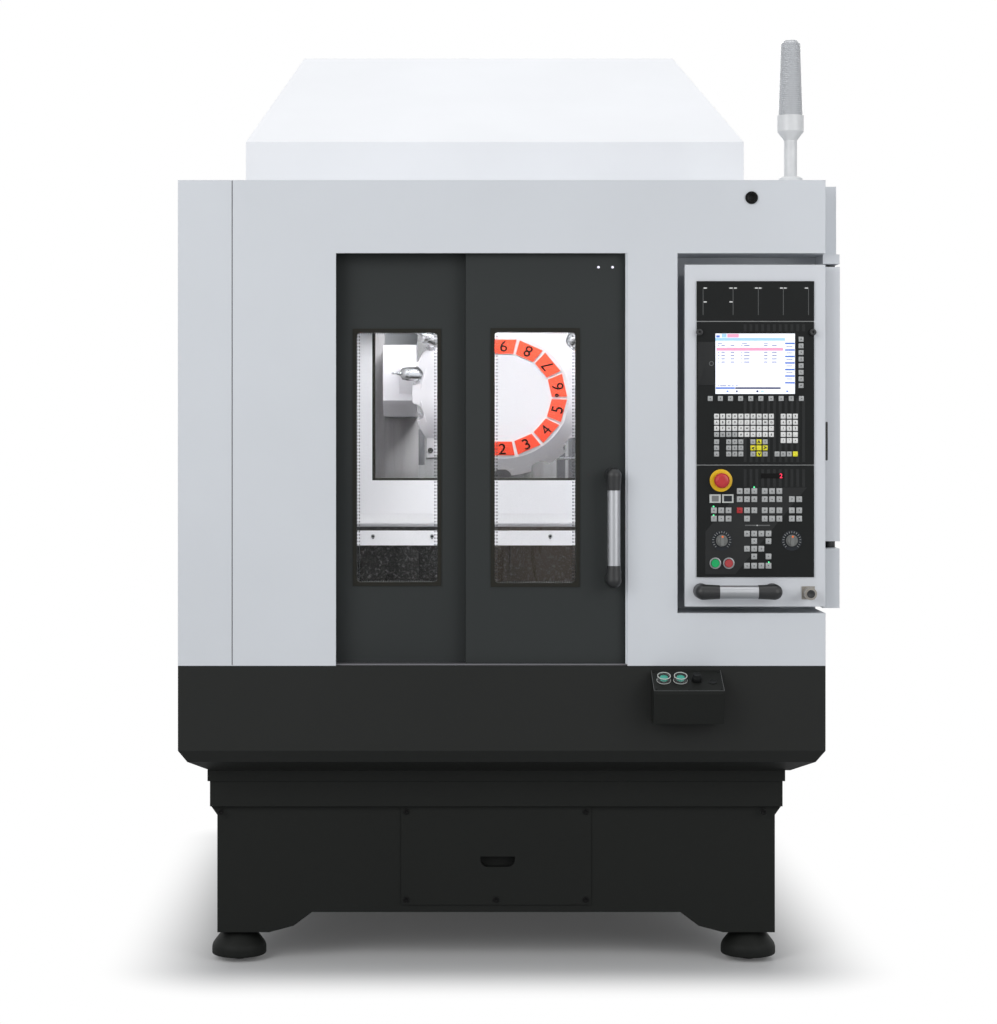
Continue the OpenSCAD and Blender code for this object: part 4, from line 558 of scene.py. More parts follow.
diffuser = lit("diffuser", (1.0, 0.98, 1.0), strength=6.0)
screen_white = lit("screen_white", (0.86, 0.88, 0.95), strength=0.55)
screen_sky = lit("screen_sky", (0.35, 0.60, 0.85), strength=0.45)
screen_blue = lit("screen_blue", (0.08, 0.17, 0.55), strength=0.5)
screen_navy = lit("screen_navy", (0.012, 0.022, 0.10), strength=0.4)
screen_pink = lit("screen_pink", (0.80, 0.34, 0.50), strength=0.45)
screen_text = lit("screen_text", (0.22, 0.24, 0.42), strength=0.4)
print("lit surfaces ready")

# %% [markdown]
# ## Finishes for the CAD nodes
# Every node of the frame gets its finish here, by name, so nothing stays in its plain CAD colour.

# %% Give each node its finish
finish_of = {
    base_black: ["base_frame", "base_access_panel", "levelling_feet", "control_box"],
    tray_black: ["splash_tray"],
    panel_grey: ["corner_panel", "front_fascia", "left_side_panel", "right_side_panel", "roof_panel",
                 "electrical_cabinet", "cabinet_door", "panel_hinges"],
    pod_grey: ["panel_shell"],
    hood_white: ["top_hood"],
    door_charcoal: ["door_left_panel", "door_right_panel"],
    chamber_white: ["inner_guard", "magazine_arm", "turret_disc"],
    wall_grey: ["chamber_liner"],
    casting_grey: ["bed", "column", "saddle", "spindle_head"],
    table_steel: ["work_table"],
    turned_steel: ["spindle_shaft", "tool_holders"],
    sill_steel: ["door_rails"],
    grip_satin: ["door_handle_grip", "panel_handle_grip"],
    nickel: ["data_socket"],
    motor_black: ["spindle_motor"],
    gasket_rubber: ["door_left_gasket", "door_right_gasket"],
    glass_left: ["door_left_window"],
    glass_right: ["door_right_window"],
    lens_clear: ["signal_tower_lens"],
    tower_white: ["signal_tower_stem"],
    black_plastic: ["door_handle_ends", "panel_handle_ends", "box_selector"],
    unit_black: ["blank_unit", "display_unit", "control_unit"],
    screen_white: ["display_screen"],
    diffuser: ["work_light"],
    stop_red: ["emergency_stop"],
    button_green: ["start_button"],
    button_red: ["stop_button"],
    lamp_clear: ["lamp_button_left", "lamp_button_right"],
    dial_grey: ["feed_dial", "speed_dial"],
    box_green: ["box_button_left", "box_button_right"],
    tile_orange: ["number_tiles"],
    switch_red: ["main_switch"],
    key_white: ["panel_keys"],
}
for finish, names in finish_of.items():
    for name in names:
        nodes[name].data.materials.clear()
        nodes[name].data.materials.append(finish)
plain = sorted(set(nodes) - {name for names in finish_of.values() for name in names})
print("nodes without a finish:", plain)

# %% [markdown]
# ## The work light
# The bar under the guard's top edge lights the chamber. A lamp of the same length hangs just below it. Two
# weak ones between the doors and the guard stand for the studio light that real panes let through onto the
# guard's plates.

# %% Chamber lamp
LAMP_AIR, LAMP_DEPTH, LAMP_WATTS, CHAMBER_MIDDLE = 0.02, 0.05, 35, (0.0, -0.35, 1.2)
BAY_LAMP_X, BAY_LAMP_Y, BAY_LAMP_SIZE, BAY_LAMP_SPREAD = -0.08, -1.0, (0.75, 0.06), 75
GUARD_PLATES_Y = -0.856
low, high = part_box("work_light")
lamp_place = ((low.x + high.x) / 2, high.y + LAMP_AIR, low.z - LAMP_AIR)
soft_box("chamber_lamp", place=lamp_place, target=CHAMBER_MIDDLE, size=(high.x - low.x, LAMP_DEPTH),
         watts=LAMP_WATTS)
for name, z, target_z, watts in (("bay_lamp_high", 1.80, 1.15, 1.5), ("bay_lamp_low", 0.96, 1.20, 0.2)):
    target = (BAY_LAMP_X, GUARD_PLATES_Y, target_z)
    lamp = soft_box(name, place=(BAY_LAMP_X, BAY_LAMP_Y, z), target=target, size=BAY_LAMP_SIZE, watts=watts)
    lamp.data.spread = math.radians(BAY_LAMP_SPREAD)
print("chamber lamp at", round(lamp_place[2], 3), "m")

# %% [markdown]
# ## Modelling helpers
# Each added piece starts from a primitive and is worked on in edit mode: faces and edges are picked by
# place or direction, then inset, extruded or bevelled. A settled piece keeps its place in its mesh, so the
# object itself stays at the origin, and it rides with the body that carries it.


# %% Helpers for modelling
def start_clean():
    bpy.ops.object.select_all(action="DESELECT")


def pick(test, kind="FACE"):
    bpy.ops.mesh.select_mode(type=kind)
    bpy.ops.mesh.select_all(action="DESELECT")
    shape = bmesh.from_edit_mesh(bpy.context.object.data)
    for item in shape.faces if kind == "FACE" else shape.edges:
        item.select_set(bool(test(item)))
    bmesh.update_edit_mesh(bpy.context.object.data)


def runs_along(edge, axis):
    return abs((edge.verts[1].co - edge.verts[0].co).normalized()[axis]) > 0.99


def round_edges(width, segments=2):
    bpy.ops.object.modifier_add(type="BEVEL")
    rounding = bpy.context.object.modifiers[-1]
    rounding.width, rounding.segments = width, segments
    rounding.limit_method, rounding.angle_limit = "ANGLE", math.radians(40)
    bpy.ops.object.modifier_apply(modifier=rounding.name)


def repeat(offsets):
    first = bpy.context.object
    made = [first]
    for offset in offsets:
        start_clean()
        first.select_set(True)
        bpy.context.view_layer.objects.active = first
        bpy.ops.object.duplicate()
        bpy.ops.transform.translate(value=offset)
        made.append(bpy.context.object)
    return weld(made)


def weld(made):
    start_clean()
    for item in made:
        item.select_set(True)
    bpy.context.view_layer.objects.active = made[0]
    if len(made) > 1:
        bpy.ops.object.join()
    return made[0]


def settle(name, body, finish, smooth=35):
    piece = bpy.context.object
    piece.name = piece.data.name = name
    bpy.ops.object.transform_apply(location=True, rotation=True, scale=True)
    bpy.ops.object.shade_smooth_by_angle(angle=math.radians(smooth))
    piece.data.materials.clear()
    piece.data.materials.append(finish)
    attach(piece, body)
    start_clean()
    print(name, "rides", body, "with", len(piece.data.polygons), "faces")
    return piece


print("modelling helpers ready")


# %% [markdown]
# Four shapes come back again and again on a machine: the thin plate with round corners, the ring, the screw
# head and the printed sign. Each is modelled by the same few steps every time, so each gets one function.
# They are made facing the front; a turn lays them on a plate or points them at the other sides.


# %% Plate, ring, screw and print
def plate(x, z, front, thick, corner, rim=0.0):
    start_clean()
    middle = ((x[0] + x[1]) / 2, front + thick / 2, (z[0] + z[1]) / 2)
    bpy.ops.mesh.primitive_cube_add(size=1, location=middle)
    bpy.ops.transform.resize(value=(x[1] - x[0], thick, z[1] - z[0]))
    bpy.ops.object.transform_apply(location=True, rotation=True, scale=True)
    bpy.ops.object.mode_set(mode="EDIT")
    pick(lambda edge: runs_along(edge, 1), "EDGE")
    bpy.ops.mesh.bevel(offset=corner, segments=4, affect="EDGES")
    bpy.ops.object.mode_set(mode="OBJECT")
    if rim:
        round_edges(width=rim)
    return bpy.context.object


def ring(place, outer, inner, thick, rim=0.0, sides=64):
    start_clean()
    bpy.ops.mesh.primitive_circle_add(
        vertices=sides, radius=inner, location=place, rotation=(math.radians(90), 0, 0))
    bpy.ops.object.transform_apply(location=True, rotation=True, scale=True)
    bpy.ops.object.mode_set(mode="EDIT")
    bpy.ops.mesh.select_all(action="SELECT")
    bpy.ops.mesh.extrude_edges_move()
    bpy.ops.transform.resize(value=(outer / inner, 1, outer / inner), center_override=place)
    bpy.ops.mesh.select_all(action="SELECT")
    bpy.ops.mesh.extrude_region_move(TRANSFORM_OT_translate={"value": (0, -thick, 0)})
    bpy.ops.mesh.select_all(action="SELECT")
    bpy.ops.mesh.normals_make_consistent(inside=False)
    bpy.ops.object.mode_set(mode="OBJECT")
    if rim:
        round_edges(width=rim)
    return bpy.context.object


def screw(place, radius, thick, socket=0.45, sides=24):
    start_clean()
    middle = (place[0], place[1] - thick / 2, place[2])
    bpy.ops.mesh.primitive_cylinder_add(
        vertices=sides, radius=radius, depth=thick, location=middle, rotation=(math.radians(90), 0, 0))
    bpy.ops.object.transform_apply(location=True, rotation=True, scale=True)
    bpy.ops.object.mode_set(mode="EDIT")
    pick(lambda face: face.normal.y < -0.9)
    bpy.ops.mesh.inset(thickness=radius * (1 - socket))
    bpy.ops.mesh.extrude_region_move(TRANSFORM_OT_translate={"value": (0, thick * 0.6, 0)})
    bpy.ops.object.mode_set(mode="OBJECT")
    round_edges(width=radius * 0.12)
    return bpy.context.object


def sign(text, size, place, bold=0.0):
    start_clean()
    bpy.ops.object.text_add()
    mark = bpy.context.object
    mark.data.body, mark.data.size = text, size
    mark.data.align_x, mark.data.align_y = "CENTER", "CENTER"
    mark.data.extrude, mark.data.resolution_u, mark.data.offset = 0.0001, 3, bold
    bpy.ops.object.convert(target="MESH")
    mark = bpy.context.object
    mark.matrix_world = place
    bpy.ops.object.transform_apply(location=True, rotation=True, scale=True)
    return mark


def put(place):
    bpy.context.object.matrix_world = place
    bpy.ops.object.transform_apply(location=True, rotation=True, scale=True)
    return bpy.context.object


def facing_front(x, y, z):
    return Matrix.Translation((x, y, z)) @ Matrix.Rotation(math.radians(90), 4, "X")


LYING = Matrix.Rotation(math.radians(-90), 4, "X")
FACING_RIGHT = Matrix.Rotation(math.radians(90), 4, "Z")
FACING_LEFT = Matrix.Rotation(math.radians(-90), 4, "Z")
FACING_REAR = Matrix.Rotation(math.radians(180), 4, "Z")
print("plate, ring, screw and sign ready")

# %% [markdown]
# ## Digits on the turret
# Each tool place has its number printed on an orange tile, with the top of the digit towards the turret's
# middle so that it reads upright when its place is lowest. A digit starts as text, becomes a mesh and is
# then turned into its tile's place in the turret's tilted frame. All strokes are thickened a little, but
# for the four: its small opening would close. The six has a ring at its edge, so that nobody takes it for a
# nine.

# %% Turret digits
TURRET_MIDDLE, TURRET_TILT, PLACES = (-0.005, -0.463, 1.515), 23.8, 14
TURRET = Matrix.Translation(TURRET_MIDDLE) @ Matrix.Rotation(math.radians(90 + TURRET_TILT), 4, "X")
DIGIT_SIZE, DIGIT_RADIUS, DIGIT_HEIGHT, THICKENED = 0.048, 0.1625, 0.0016, 0.0004
MARK_RADIUS, MARK_HEIGHT, FROM_TILE_MIDDLE = 0.1528, 0.0036, 0.025


def on_tile(place, radius, height):
    angle = math.radians(270 + (place - 2) * 360 / PLACES)
    turn = Matrix.Rotation(angle, 4, "Z") @ Matrix.Translation((radius, 0, height))
    return TURRET @ turn @ Matrix.Rotation(math.radians(90), 4, "Z")


digits = []
for place in range(1, PLACES + 1):
    stroke = 0.0 if place % 10 == 4 else THICKENED
    digits.append(sign(str(place), DIGIT_SIZE, on_tile(place, DIGIT_RADIUS, DIGIT_HEIGHT), stroke))
weld(digits)
settle("turret_digits", "turret", dark_window)
ring((0, 0, 0), outer=0.0058, inner=0.0014, thick=0.0006, rim=0.0001, sides=24)
put(on_tile(6, MARK_RADIUS, MARK_HEIGHT) @ Matrix.Translation((-FROM_TILE_MIDDLE, 0, 0)) @ LYING)
settle("place_mark", "turret", dark_window)

# %% [markdown]
# ## Key caps
# The CAD keys are plain blocks in one mesh. A copy is merged, so that each key is one closed block again,
# and all its edges are bevelled: real caps have soft edges that catch a line of light. Colour goes by
# group: typing keys are white, editing keys grey, the cursor cross yellow, one machine key red. The copy
# then stands in for the CAD node.

# %% Bevelled key caps
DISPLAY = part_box("display_unit")
UNIT_X, FACE, DISPLAY_Z = DISPLAY[0]
CONTROL_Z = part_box("control_unit")[0].z
KEY_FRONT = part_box("panel_keys")[0].y
TYPING_STEP = 0.0158
LETTERS, DIGITS = (UNIT_X + 0.0515, DISPLAY_Z + 0.125), (UNIT_X + 0.2245, DISPLAY_Z + 0.125)
CURSOR, EDIT_ROW = (UNIT_X + 0.146, DISPLAY_Z + 0.0585), DISPLAY_Z + 0.0585
RED_KEY, HALF_KEY = (UNIT_X + 0.1115, CONTROL_Z + 0.1735), 0.009
WHITE, GREY, YELLOW, RED, MACHINE = range(5)


def key_colour(x, z):
    column, row = round((x - CURSOR[0]) / TYPING_STEP), round((CURSOR[1] - z) / TYPING_STEP)
    if abs(x - RED_KEY[0]) < HALF_KEY and abs(z - RED_KEY[1]) < HALF_KEY:
        return RED
    if z < DISPLAY_Z or z > LETTERS[1] + 0.01:
        return MACHINE
    if 0 <= row <= 2 and 0 <= column <= 2 and (row == 1 or column == 1):
        return YELLOW
    if row == 2 and x > DIGITS[0] + 1.5 * TYPING_STEP:
        return YELLOW
    if z < EDIT_ROW + HALF_KEY and x < DIGITS[0] - 0.5 * TYPING_STEP or row == 2:
        return GREY
    if z < LETTERS[1] - 2.5 * TYPING_STEP and x < LETTERS[0] + 3.5 * TYPING_STEP:
        return GREY
    return WHITE


start_clean()
caps = bpy.data.objects.new("key_caps", nodes["panel_keys"].data.copy())
bpy.context.collection.objects.link(caps)
caps.select_set(True)
bpy.context.view_layer.objects.active = caps
bpy.ops.object.mode_set(mode="EDIT")
bpy.ops.mesh.select_all(action="SELECT")
bpy.ops.mesh.remove_doubles(threshold=0.00001)
bpy.ops.mesh.dissolve_limited(angle_limit=math.radians(2))
bpy.ops.mesh.normals_make_consistent(inside=False)
bpy.ops.object.mode_set(mode="OBJECT")
round_edges(width=0.0011)
settle("key_caps", "operator_panel", key_white)
for finish in (key_grey, key_yellow, key_red, key_machine):
    caps.data.materials.append(finish)
for face in caps.data.polygons:
    face.material_index = key_colour(face.center.x, face.center.z)
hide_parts("panel_keys")
print("key caps stand in for panel_keys")

# %% [markdown]
# ## Legends on the keys
# A legend is a letter, a digit or a simple mark, printed on the cap. All are cut from the same text tool
# and joined into one thin mesh. The function keys get their marks one by one, wherever a front face of
# their colour is found.

# %% Key legends
LETTER_KEYS, DIGIT_KEYS = "OPNGXYZURSABCDIJKLMQEFHTVW=+-*.,?/#<>()$", "789456123-0./*+"
LEGEND_SIZE, LEGEND_BOLD, ARROW_SIZE, ARROW_BOLD = 0.0068, 0.0003, 0.013, 0.0008
MARKS, MARK_SIZE, MARK_BOLD = "oxT+H=LnEVuAF", 0.0062, 0.0002
MARKED, FRONT_AREA = (GREY, RED, MACHINE), 4e-5
legends = []
for keys, first, columns in ((LETTER_KEYS, LETTERS, 10), (DIGIT_KEYS, DIGITS, 3)):
    for index, letter in enumerate(keys):
        x, z = first[0] + index % columns * TYPING_STEP, first[1] - index // columns * TYPING_STEP
        legends.append(sign(letter, LEGEND_SIZE, facing_front(x, KEY_FRONT, z), LEGEND_BOLD))
for column, row in ((1, 0), (0, 1), (2, 1), (1, 2)):
    turn = Matrix.Rotation(math.atan2(1 - row, column - 1), 4, "Z")
    place = facing_front(CURSOR[0] + column * TYPING_STEP, KEY_FRONT, CURSOR[1] - row * TYPING_STEP)
    legends.append(sign(">", ARROW_SIZE, place @ turn, ARROW_BOLD))
fronts = [face.center for face in caps.data.polygons
          if face.normal.y < -0.99 and face.area > FRONT_AREA and face.material_index in MARKED]
for index, centre in enumerate(sorted(fronts, key=lambda c: (round(c.z, 3), c.x))):
    place = facing_front(centre.x, KEY_FRONT, centre.z)
    legends.append(sign(MARKS[index % len(MARKS)], MARK_SIZE, place, MARK_BOLD))
weld(legends)
settle("key_legends", "operator_panel", legend_black)
print(len(fronts), "function keys marked")

# %% [markdown]
# ## The picture on the screen
# A machine screen shows a title row, a table with one row marked, soft-key names along the right and a
# state row at the bottom. Each item is a thin plate just in front of the screen. Places are shares of the
# screen's width and height, from its upper left corner.

# %% Screen picture
screen_low, screen_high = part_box("display_screen")
ITEM_THICK, ITEM_CORNER = 0.0003, 0.12


def screen_items(name, finish, items):
    wide, high = screen_high.x - screen_low.x, screen_high.z - screen_low.z
    made = []
    for left, right, top, bottom in items:
        x = (screen_low.x + left * wide, screen_low.x + right * wide)
        z = (screen_high.z - bottom * high, screen_high.z - top * high)
        rounded = min(x[1] - x[0], z[1] - z[0]) * ITEM_CORNER
        made.append(plate(x, z, screen_low.y - ITEM_THICK, thick=ITEM_THICK, corner=rounded))
    weld(made)
    settle(name, "operator_panel", finish)


COLUMNS = ((0.035, 0.052), (0.075, 0.12), (0.19, 0.24), (0.325, 0.34), (0.36, 0.43),
           (0.61, 0.655), (0.71, 0.77))
ROWS_DOWN = (0.197, 0.311, 0.365, 0.42, 0.473)
HEADINGS = ((0.03, 0.085), (0.33, 0.40), (0.61, 0.66))
FOOT_WORDS = ((0.035, 0.05), (0.06, 0.14), (0.155, 0.19), (0.21, 0.23), (0.26, 0.28))
NAMES_DOWN = (0.213, 0.322, 0.429, 0.537, 0.646, 0.753)
KEYS_DOWN = (0.164, 0.273, 0.38, 0.4875, 0.597, 0.704, 0.816)
HALF_WORD, HALF_NAME, HALF_SOFT_KEY = 0.008, 0.006, 0.013
words = [(a, b, v - HALF_WORD, v + HALF_WORD) for v in ROWS_DOWN for a, b in COLUMNS]
words += [(a, b, 0.155, 0.168) for a, b in HEADINGS]
words += [(a, b, 0.857, 0.872) for a, b in FOOT_WORDS]
words += [(0.89, 0.97, v - HALF_NAME, v + HALF_NAME) for v in NAMES_DOWN]
screen_items("screen_words", screen_text, words)
screen_items("screen_title", screen_sky,
             [(0.0, 0.875, 0.072, 0.12), (0.08, 0.14, 0.005, 0.066), (0.57, 0.61, 0.945, 0.965)])
screen_items("screen_marked_row", screen_pink, [(0.015, 0.85, 0.235, 0.285), (0.15, 0.295, 0.008, 0.066)])
keys = [(0.875, 0.995, v - HALF_SOFT_KEY, v + HALF_SOFT_KEY) for v in KEYS_DOWN]
keys += [(0.012, 0.055, 0.03, 0.066), (0.005, 0.245, 0.89, 0.918),
         (0.14, 0.165, 0.945, 0.968), (0.89, 0.915, 0.945, 0.968)]
screen_items("screen_soft_keys", screen_blue, keys)
screen_items("screen_state_row", screen_navy,
             [(0.25, 0.82, 0.89, 0.918), (0.26, 0.28, 0.942, 0.972), (0.515, 0.54, 0.942, 0.972)])

# %% [markdown]
# ## Rings and scales of the control unit
# The emergency stop stands in a yellow ring, the start and stop buttons in bright bezels, and each dial
# turns inside a printed scale. A ring is a circle whose edge is extruded outwards, then given thickness.


# %% Emergency stop ring and button bezels
def middle_of(node):
    low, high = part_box(node)
    return round((low.x + high.x) / 2, 4), round((low.z + high.z) / 2, 4)


STOP, START, HALT = middle_of("emergency_stop"), middle_of("start_button"), middle_of("stop_button")
ring((STOP[0], FACE, STOP[1]), outer=0.0293, inner=0.0125, thick=0.0036, rim=0.0012)
settle("stop_ring", "operator_panel", ring_yellow)
ring((START[0], FACE, START[1]), outer=0.0149, inner=0.0109, thick=0.0036, rim=0.0008)
repeat([(HALT[0] - START[0], 0, 0)])
settle("button_bezels", "operator_panel", bezel_steel)

# %% [markdown]
# A dial's scale is a printed ring with ticks over three quarters of a turn, and the dial itself has an
# orange mark that glows a little: painted light, as the mark is print and no lamp. The ticks could be a
# texture, but thin plates stay crisp from near. One is made at the top of the scale and turned about the
# dial's middle.

# %% Dial scales
FEED, SPEED = middle_of("feed_dial"), middle_of("speed_dial")
SCALE_TICKS, SCALE_SWEEP = 17, 270
SCALE_PRINT, TICK_FRONT = 0.0003, FACE - 0.0005
HALF_TICK, TICK_FROM, TICK_TO = 0.0006, 0.0195, 0.0245
ring((FEED[0], FACE, FEED[1]), outer=0.0265, inner=0.0165, thick=SCALE_PRINT)
repeat([(SPEED[0] - FEED[0], 0, 0)])
settle("dial_scales", "operator_panel", scale_blue)
ticks = []
for x, z in (FEED, SPEED):
    for step in range(SCALE_TICKS):
        plate((x - HALF_TICK, x + HALF_TICK), (z + TICK_FROM, z + TICK_TO), TICK_FRONT, thick=SCALE_PRINT,
              corner=0.0003)
        turn = math.radians(SCALE_SWEEP * (step / (SCALE_TICKS - 1) - 0.5))
        bpy.ops.transform.rotate(value=turn, orient_axis="Y", center_override=(x, FACE, z))
        ticks.append(bpy.context.object)
weld(ticks)
settle("dial_ticks", "operator_panel", key_grey)

# %% Orange marks on the dials
MARK_FROM_MIDDLE = 0.0105
# Each printed mark gets the glowing orange finish: painted light.
for name, body, centre in (("feed_mark", "feed_dial", FEED), ("speed_mark", "speed_dial", SPEED)):
    screw((centre[0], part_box(body)[0].y, centre[1] + MARK_FROM_MIDDLE), radius=0.0028, thick=0.0004,
          socket=0.6)
    settle(name, body, mark_orange_glow)

# %% [markdown]
# ## Printed pattern of the units
# The overlay foil of the units is not plain black: upright stripes run down the right half, and a slanting
# field one shade lighter ties the dials and keys together. The stripes are thin plates; the field is a
# plate with two corners cut off along a slanting plane.

# %% Stripes and slanting field
STRIPE, FIRST_STRIPE, STRIPES, FOIL = 0.0152, 0.6005, 11, 0.0002
STRIPE_SPANS = ((DISPLAY_Z + 0.006, DISPLAY_Z + 0.172), (1.6785, 1.697), (1.2745, 1.3205))
FIELD_X, FIELD_Z, FIELD_FOIL = (0.5009, 0.7650), (1.0476, 1.2728), 0.0001
FIELD_CUTS = (((0.5785, FIELD_Z[0]), (FIELD_X[1], FIELD_Z[1]), 1),
              ((FIELD_X[0], 1.1579), (0.5979, FIELD_Z[1]), -1))
bands = []
for span in STRIPE_SPANS:
    plate((FIRST_STRIPE, FIRST_STRIPE + STRIPE / 2), span, FACE - FOIL, thick=FOIL, corner=0.0004)
    bands.append(repeat([(STRIPE * step, 0, 0) for step in range(1, STRIPES)]))
weld(bands)
settle("foil_stripes", "operator_panel", field_black)
plate(FIELD_X, FIELD_Z, FACE - FIELD_FOIL, thick=FIELD_FOIL, corner=0.0004)
bpy.ops.object.mode_set(mode="EDIT")
for a, b, outward in FIELD_CUTS:
    normal = Vector((b[1] - a[1], 0, a[0] - b[0])).normalized() * outward
    bpy.ops.mesh.select_all(action="SELECT")
    bpy.ops.mesh.bisect(plane_co=(a[0], FACE, a[1]), plane_no=normal, use_fill=True, clear_outer=True)
bpy.ops.mesh.select_all(action="SELECT")
bpy.ops.mesh.normals_make_consistent(inside=False)
bpy.ops.object.mode_set(mode="OBJECT")
settle("foil_field", "operator_panel", field_black)

# %% [markdown]
# ## Small lamps and readout
# Green lamps beside some keys say which function is on. The readout shows the tool in the spindle as a red
# digit.

# %% Lamps and readout
LAMPS = [(0.6278, 1.2735), (0.5223, 1.2235), (0.5223, 1.2005), (0.6657, 1.0785)]
READOUT_X, READOUT_Z, READOUT_DIGIT = (0.6455, 0.7035), (1.2965, 1.3095), (0.6975, 1.3025)
LOAD_X, LOAD_Z, LOAD_LAMP = (0.604, 0.6688), (1.1728, 1.1757), (0.6353, 1.1743)
READOUT_STANDS, READOUT_SIZE, RAISED, LAMP_PRINT, LAMP_EDGE = 0.0004, 0.017, 0.0006, 0.0004, 0.0035
screw((LAMPS[0][0], FACE, LAMPS[0][1]), radius=0.0021, thick=0.0008, socket=0.5, sides=16)
repeat([(x - LAMPS[0][0], 0, z - LAMPS[0][1]) for x, z in LAMPS[1:]])
settle("key_lamps", "operator_panel", lamp_green)
plate(READOUT_X, READOUT_Z, FACE - READOUT_STANDS, thick=0.0009, corner=0.001)
settle("readout_window", "operator_panel", dark_window)
sign("2", READOUT_SIZE, facing_front(READOUT_DIGIT[0], FACE - RAISED, READOUT_DIGIT[1]))
settle("readout_digit", "operator_panel", lamp_red)
plate(LOAD_X, LOAD_Z, FACE - RAISED, thick=RAISED, corner=0.001, rim=0.0002)
settle("load_bar", "operator_panel", line_grey)
screw((LOAD_LAMP[0], FACE - RAISED, LOAD_LAMP[1]), radius=0.0016, thick=0.0004, socket=0.6, sides=12)
settle("load_lamp", "operator_panel", legend_white)
for name, body, side_edge, finish in (("lamp_display", "lamp_button_right", 0.004, scale_blue),
                                      ("lamp_legend", "lamp_button_left", 0.0055, dial_grey)):
    low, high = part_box(body)
    span = (low.z + LAMP_EDGE, high.z - LAMP_EDGE)
    plate((low.x + side_edge, high.x - side_edge), span, low.y - LAMP_PRINT, thick=LAMP_PRINT, corner=0.0012)
    settle(name, body, finish)

# %% [markdown]
# ## Blank unit, service flap and thumb screws
# The blank unit has a printed bracket for each option bay. The display has a hinged flap over its service
# port at the left, and two black thumb screws hold it in the panel.

# %% Bracket lines on the blank unit
OPTION_BAYS, BAY_TOP, BAY_FOOT = (0.4951, 0.5730, 0.6385, 0.7035, 0.7690), 1.791, 1.721
HALF_LINE, HALF_BAR, BAR_PRINT, ARM = 0.0007, 0.0015, 0.0003, 0.012
lines = [plate((x - HALF_LINE, x + HALF_LINE), (BAY_FOOT, BAY_TOP), FACE - FOIL, thick=FOIL, corner=0.0002)
         for x in OPTION_BAYS]
for x in OPTION_BAYS:
    arm_x = (max(x - ARM, OPTION_BAYS[0]), min(x + ARM, OPTION_BAYS[-1]))
    lines.append(plate(arm_x, (BAY_TOP - HALF_LINE, BAY_TOP + HALF_LINE), FACE - FOIL, thick=FOIL,
                       corner=0.0002))
weld(lines)
settle("bay_brackets", "operator_panel", line_grey)
BAR_ENDS = ((0, 0.0012, 0.0095), (1, -0.0095, -0.0012), (1, 0.0024, 0.0095), (2, -0.0083, -0.0012),
            (2, 0.0012, 0.0083), (3, -0.0083, -0.0012), (3, 0.0012, 0.0083), (4, -0.0095, -0.0012))
bars = [(OPTION_BAYS[bay] + a, OPTION_BAYS[bay] + b, BAY_TOP) for bay, a, b in BAR_ENDS]
bars += [(0.4963, 0.5046, 1.755), (0.5635, 0.5718, 1.755)]
weld([plate((a, b), (z - HALF_BAR, z + HALF_BAR), FACE - BAR_PRINT, thick=BAR_PRINT, corner=0.0004)
      for a, b, z in bars])
settle("bay_bars", "operator_panel", legend_white)

# %% [markdown]
# The flap is one raised plate with a lock ring near its edge. The thumb screws are screw heads, made tall
# enough to be gripped.

# %% Service flap, lock and thumb screws
FLAP_X, FLAP_Z, FLAP_THICK, LOCK = (0.4818, 0.5234), (1.539, 1.651), 0.0008, (0.5166, 1.595)
THUMB_SCREW, THUMB_STEP = (0.4850, FACE, 1.676), 0.2945
plate(FLAP_X, FLAP_Z, FACE - FLAP_THICK, thick=FLAP_THICK, corner=0.002, rim=0.0003)
settle("service_flap", "operator_panel", field_black)
ring((LOCK[0], FACE - FLAP_THICK, LOCK[1]), outer=0.0062, inner=0.0042, thick=0.0006, rim=0.0002, sides=32)
settle("flap_lock", "operator_panel", line_grey)
screw(THUMB_SCREW, radius=0.0085, thick=0.011, socket=0.3)
repeat([(THUMB_STEP, 0, 0)])
settle("thumb_screws", "operator_panel", black_plastic)

# %% [markdown]
# ## Things on the fascia and doors
# The fascia has a black blanking plug above the panel and a visible joint to the corner panel. Behind its
# sheet a painted strip covers the gap that the right door needs to run. The door itself carries two small
# state lamps, and a thin black plate on the operator panel's wing is painted shade for a narrow slot.

# %% Plug, joint line and door lamps
PLUG = (0.6215, FASCIA_Y, 2.026)
JOINT_X, JOINT_Z, JOINT_THICK = (-0.7301, -0.7277), (0.8115, 2.0705), 0.00025
JAMB_FROM, JAMB_TO, JAMB_OVER = -0.001, 0.014, 0.002
LINTEL, SILL_Z, BEHIND_SHEET = 0.19, 0.8135, 0.0031
DOOR_LAMP, DOOR_LAMP_STEP = (0.2252, 1.847), 0.0367
SLOT_X, SLOT_Z, WING_FRONT = (0.8204, 0.8262), (1.3424, 1.4437), -1.0735
screw(PLUG, radius=0.0165, thick=0.004, socket=0.55, sides=40)
settle("fascia_plug", "machine", dark_window)
plate(JOINT_X, JOINT_Z, FASCIA_Y - JOINT_THICK, thick=JOINT_THICK, corner=0.0003)
settle("corner_joint", "machine", joint_dark)
door_low, door_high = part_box("door_right_panel")
jamb_x = (door_high.x + JAMB_FROM, door_high.x + JAMB_TO)
jamb_z = (SILL_Z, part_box("front_fascia")[1].z - LINTEL + JAMB_OVER)
plate(jamb_x, jamb_z, FASCIA_Y + BEHIND_SHEET, thick=0.004, corner=0.0008)
settle("door_jamb", "machine", panel_grey)
screw((DOOR_LAMP[0], door_low.y, DOOR_LAMP[1]), radius=0.0032, thick=0.0008, socket=0.5, sides=20)
repeat([(DOOR_LAMP_STEP, 0, 0)])
settle("door_lamps", "door_right", lamp_white)
# A thin black plate is painted shade for the narrow slot in the wing.
plate(SLOT_X, SLOT_Z, WING_FRONT, thick=0.0006, corner=0.0025)
settle("wing_slot_shade", "operator_panel", black_plastic)

# %% [markdown]
# ## Screws of the base and the guard
# Removable sheets are screwed on. One head is modelled with its socket and then copied along the sheet's
# edge.

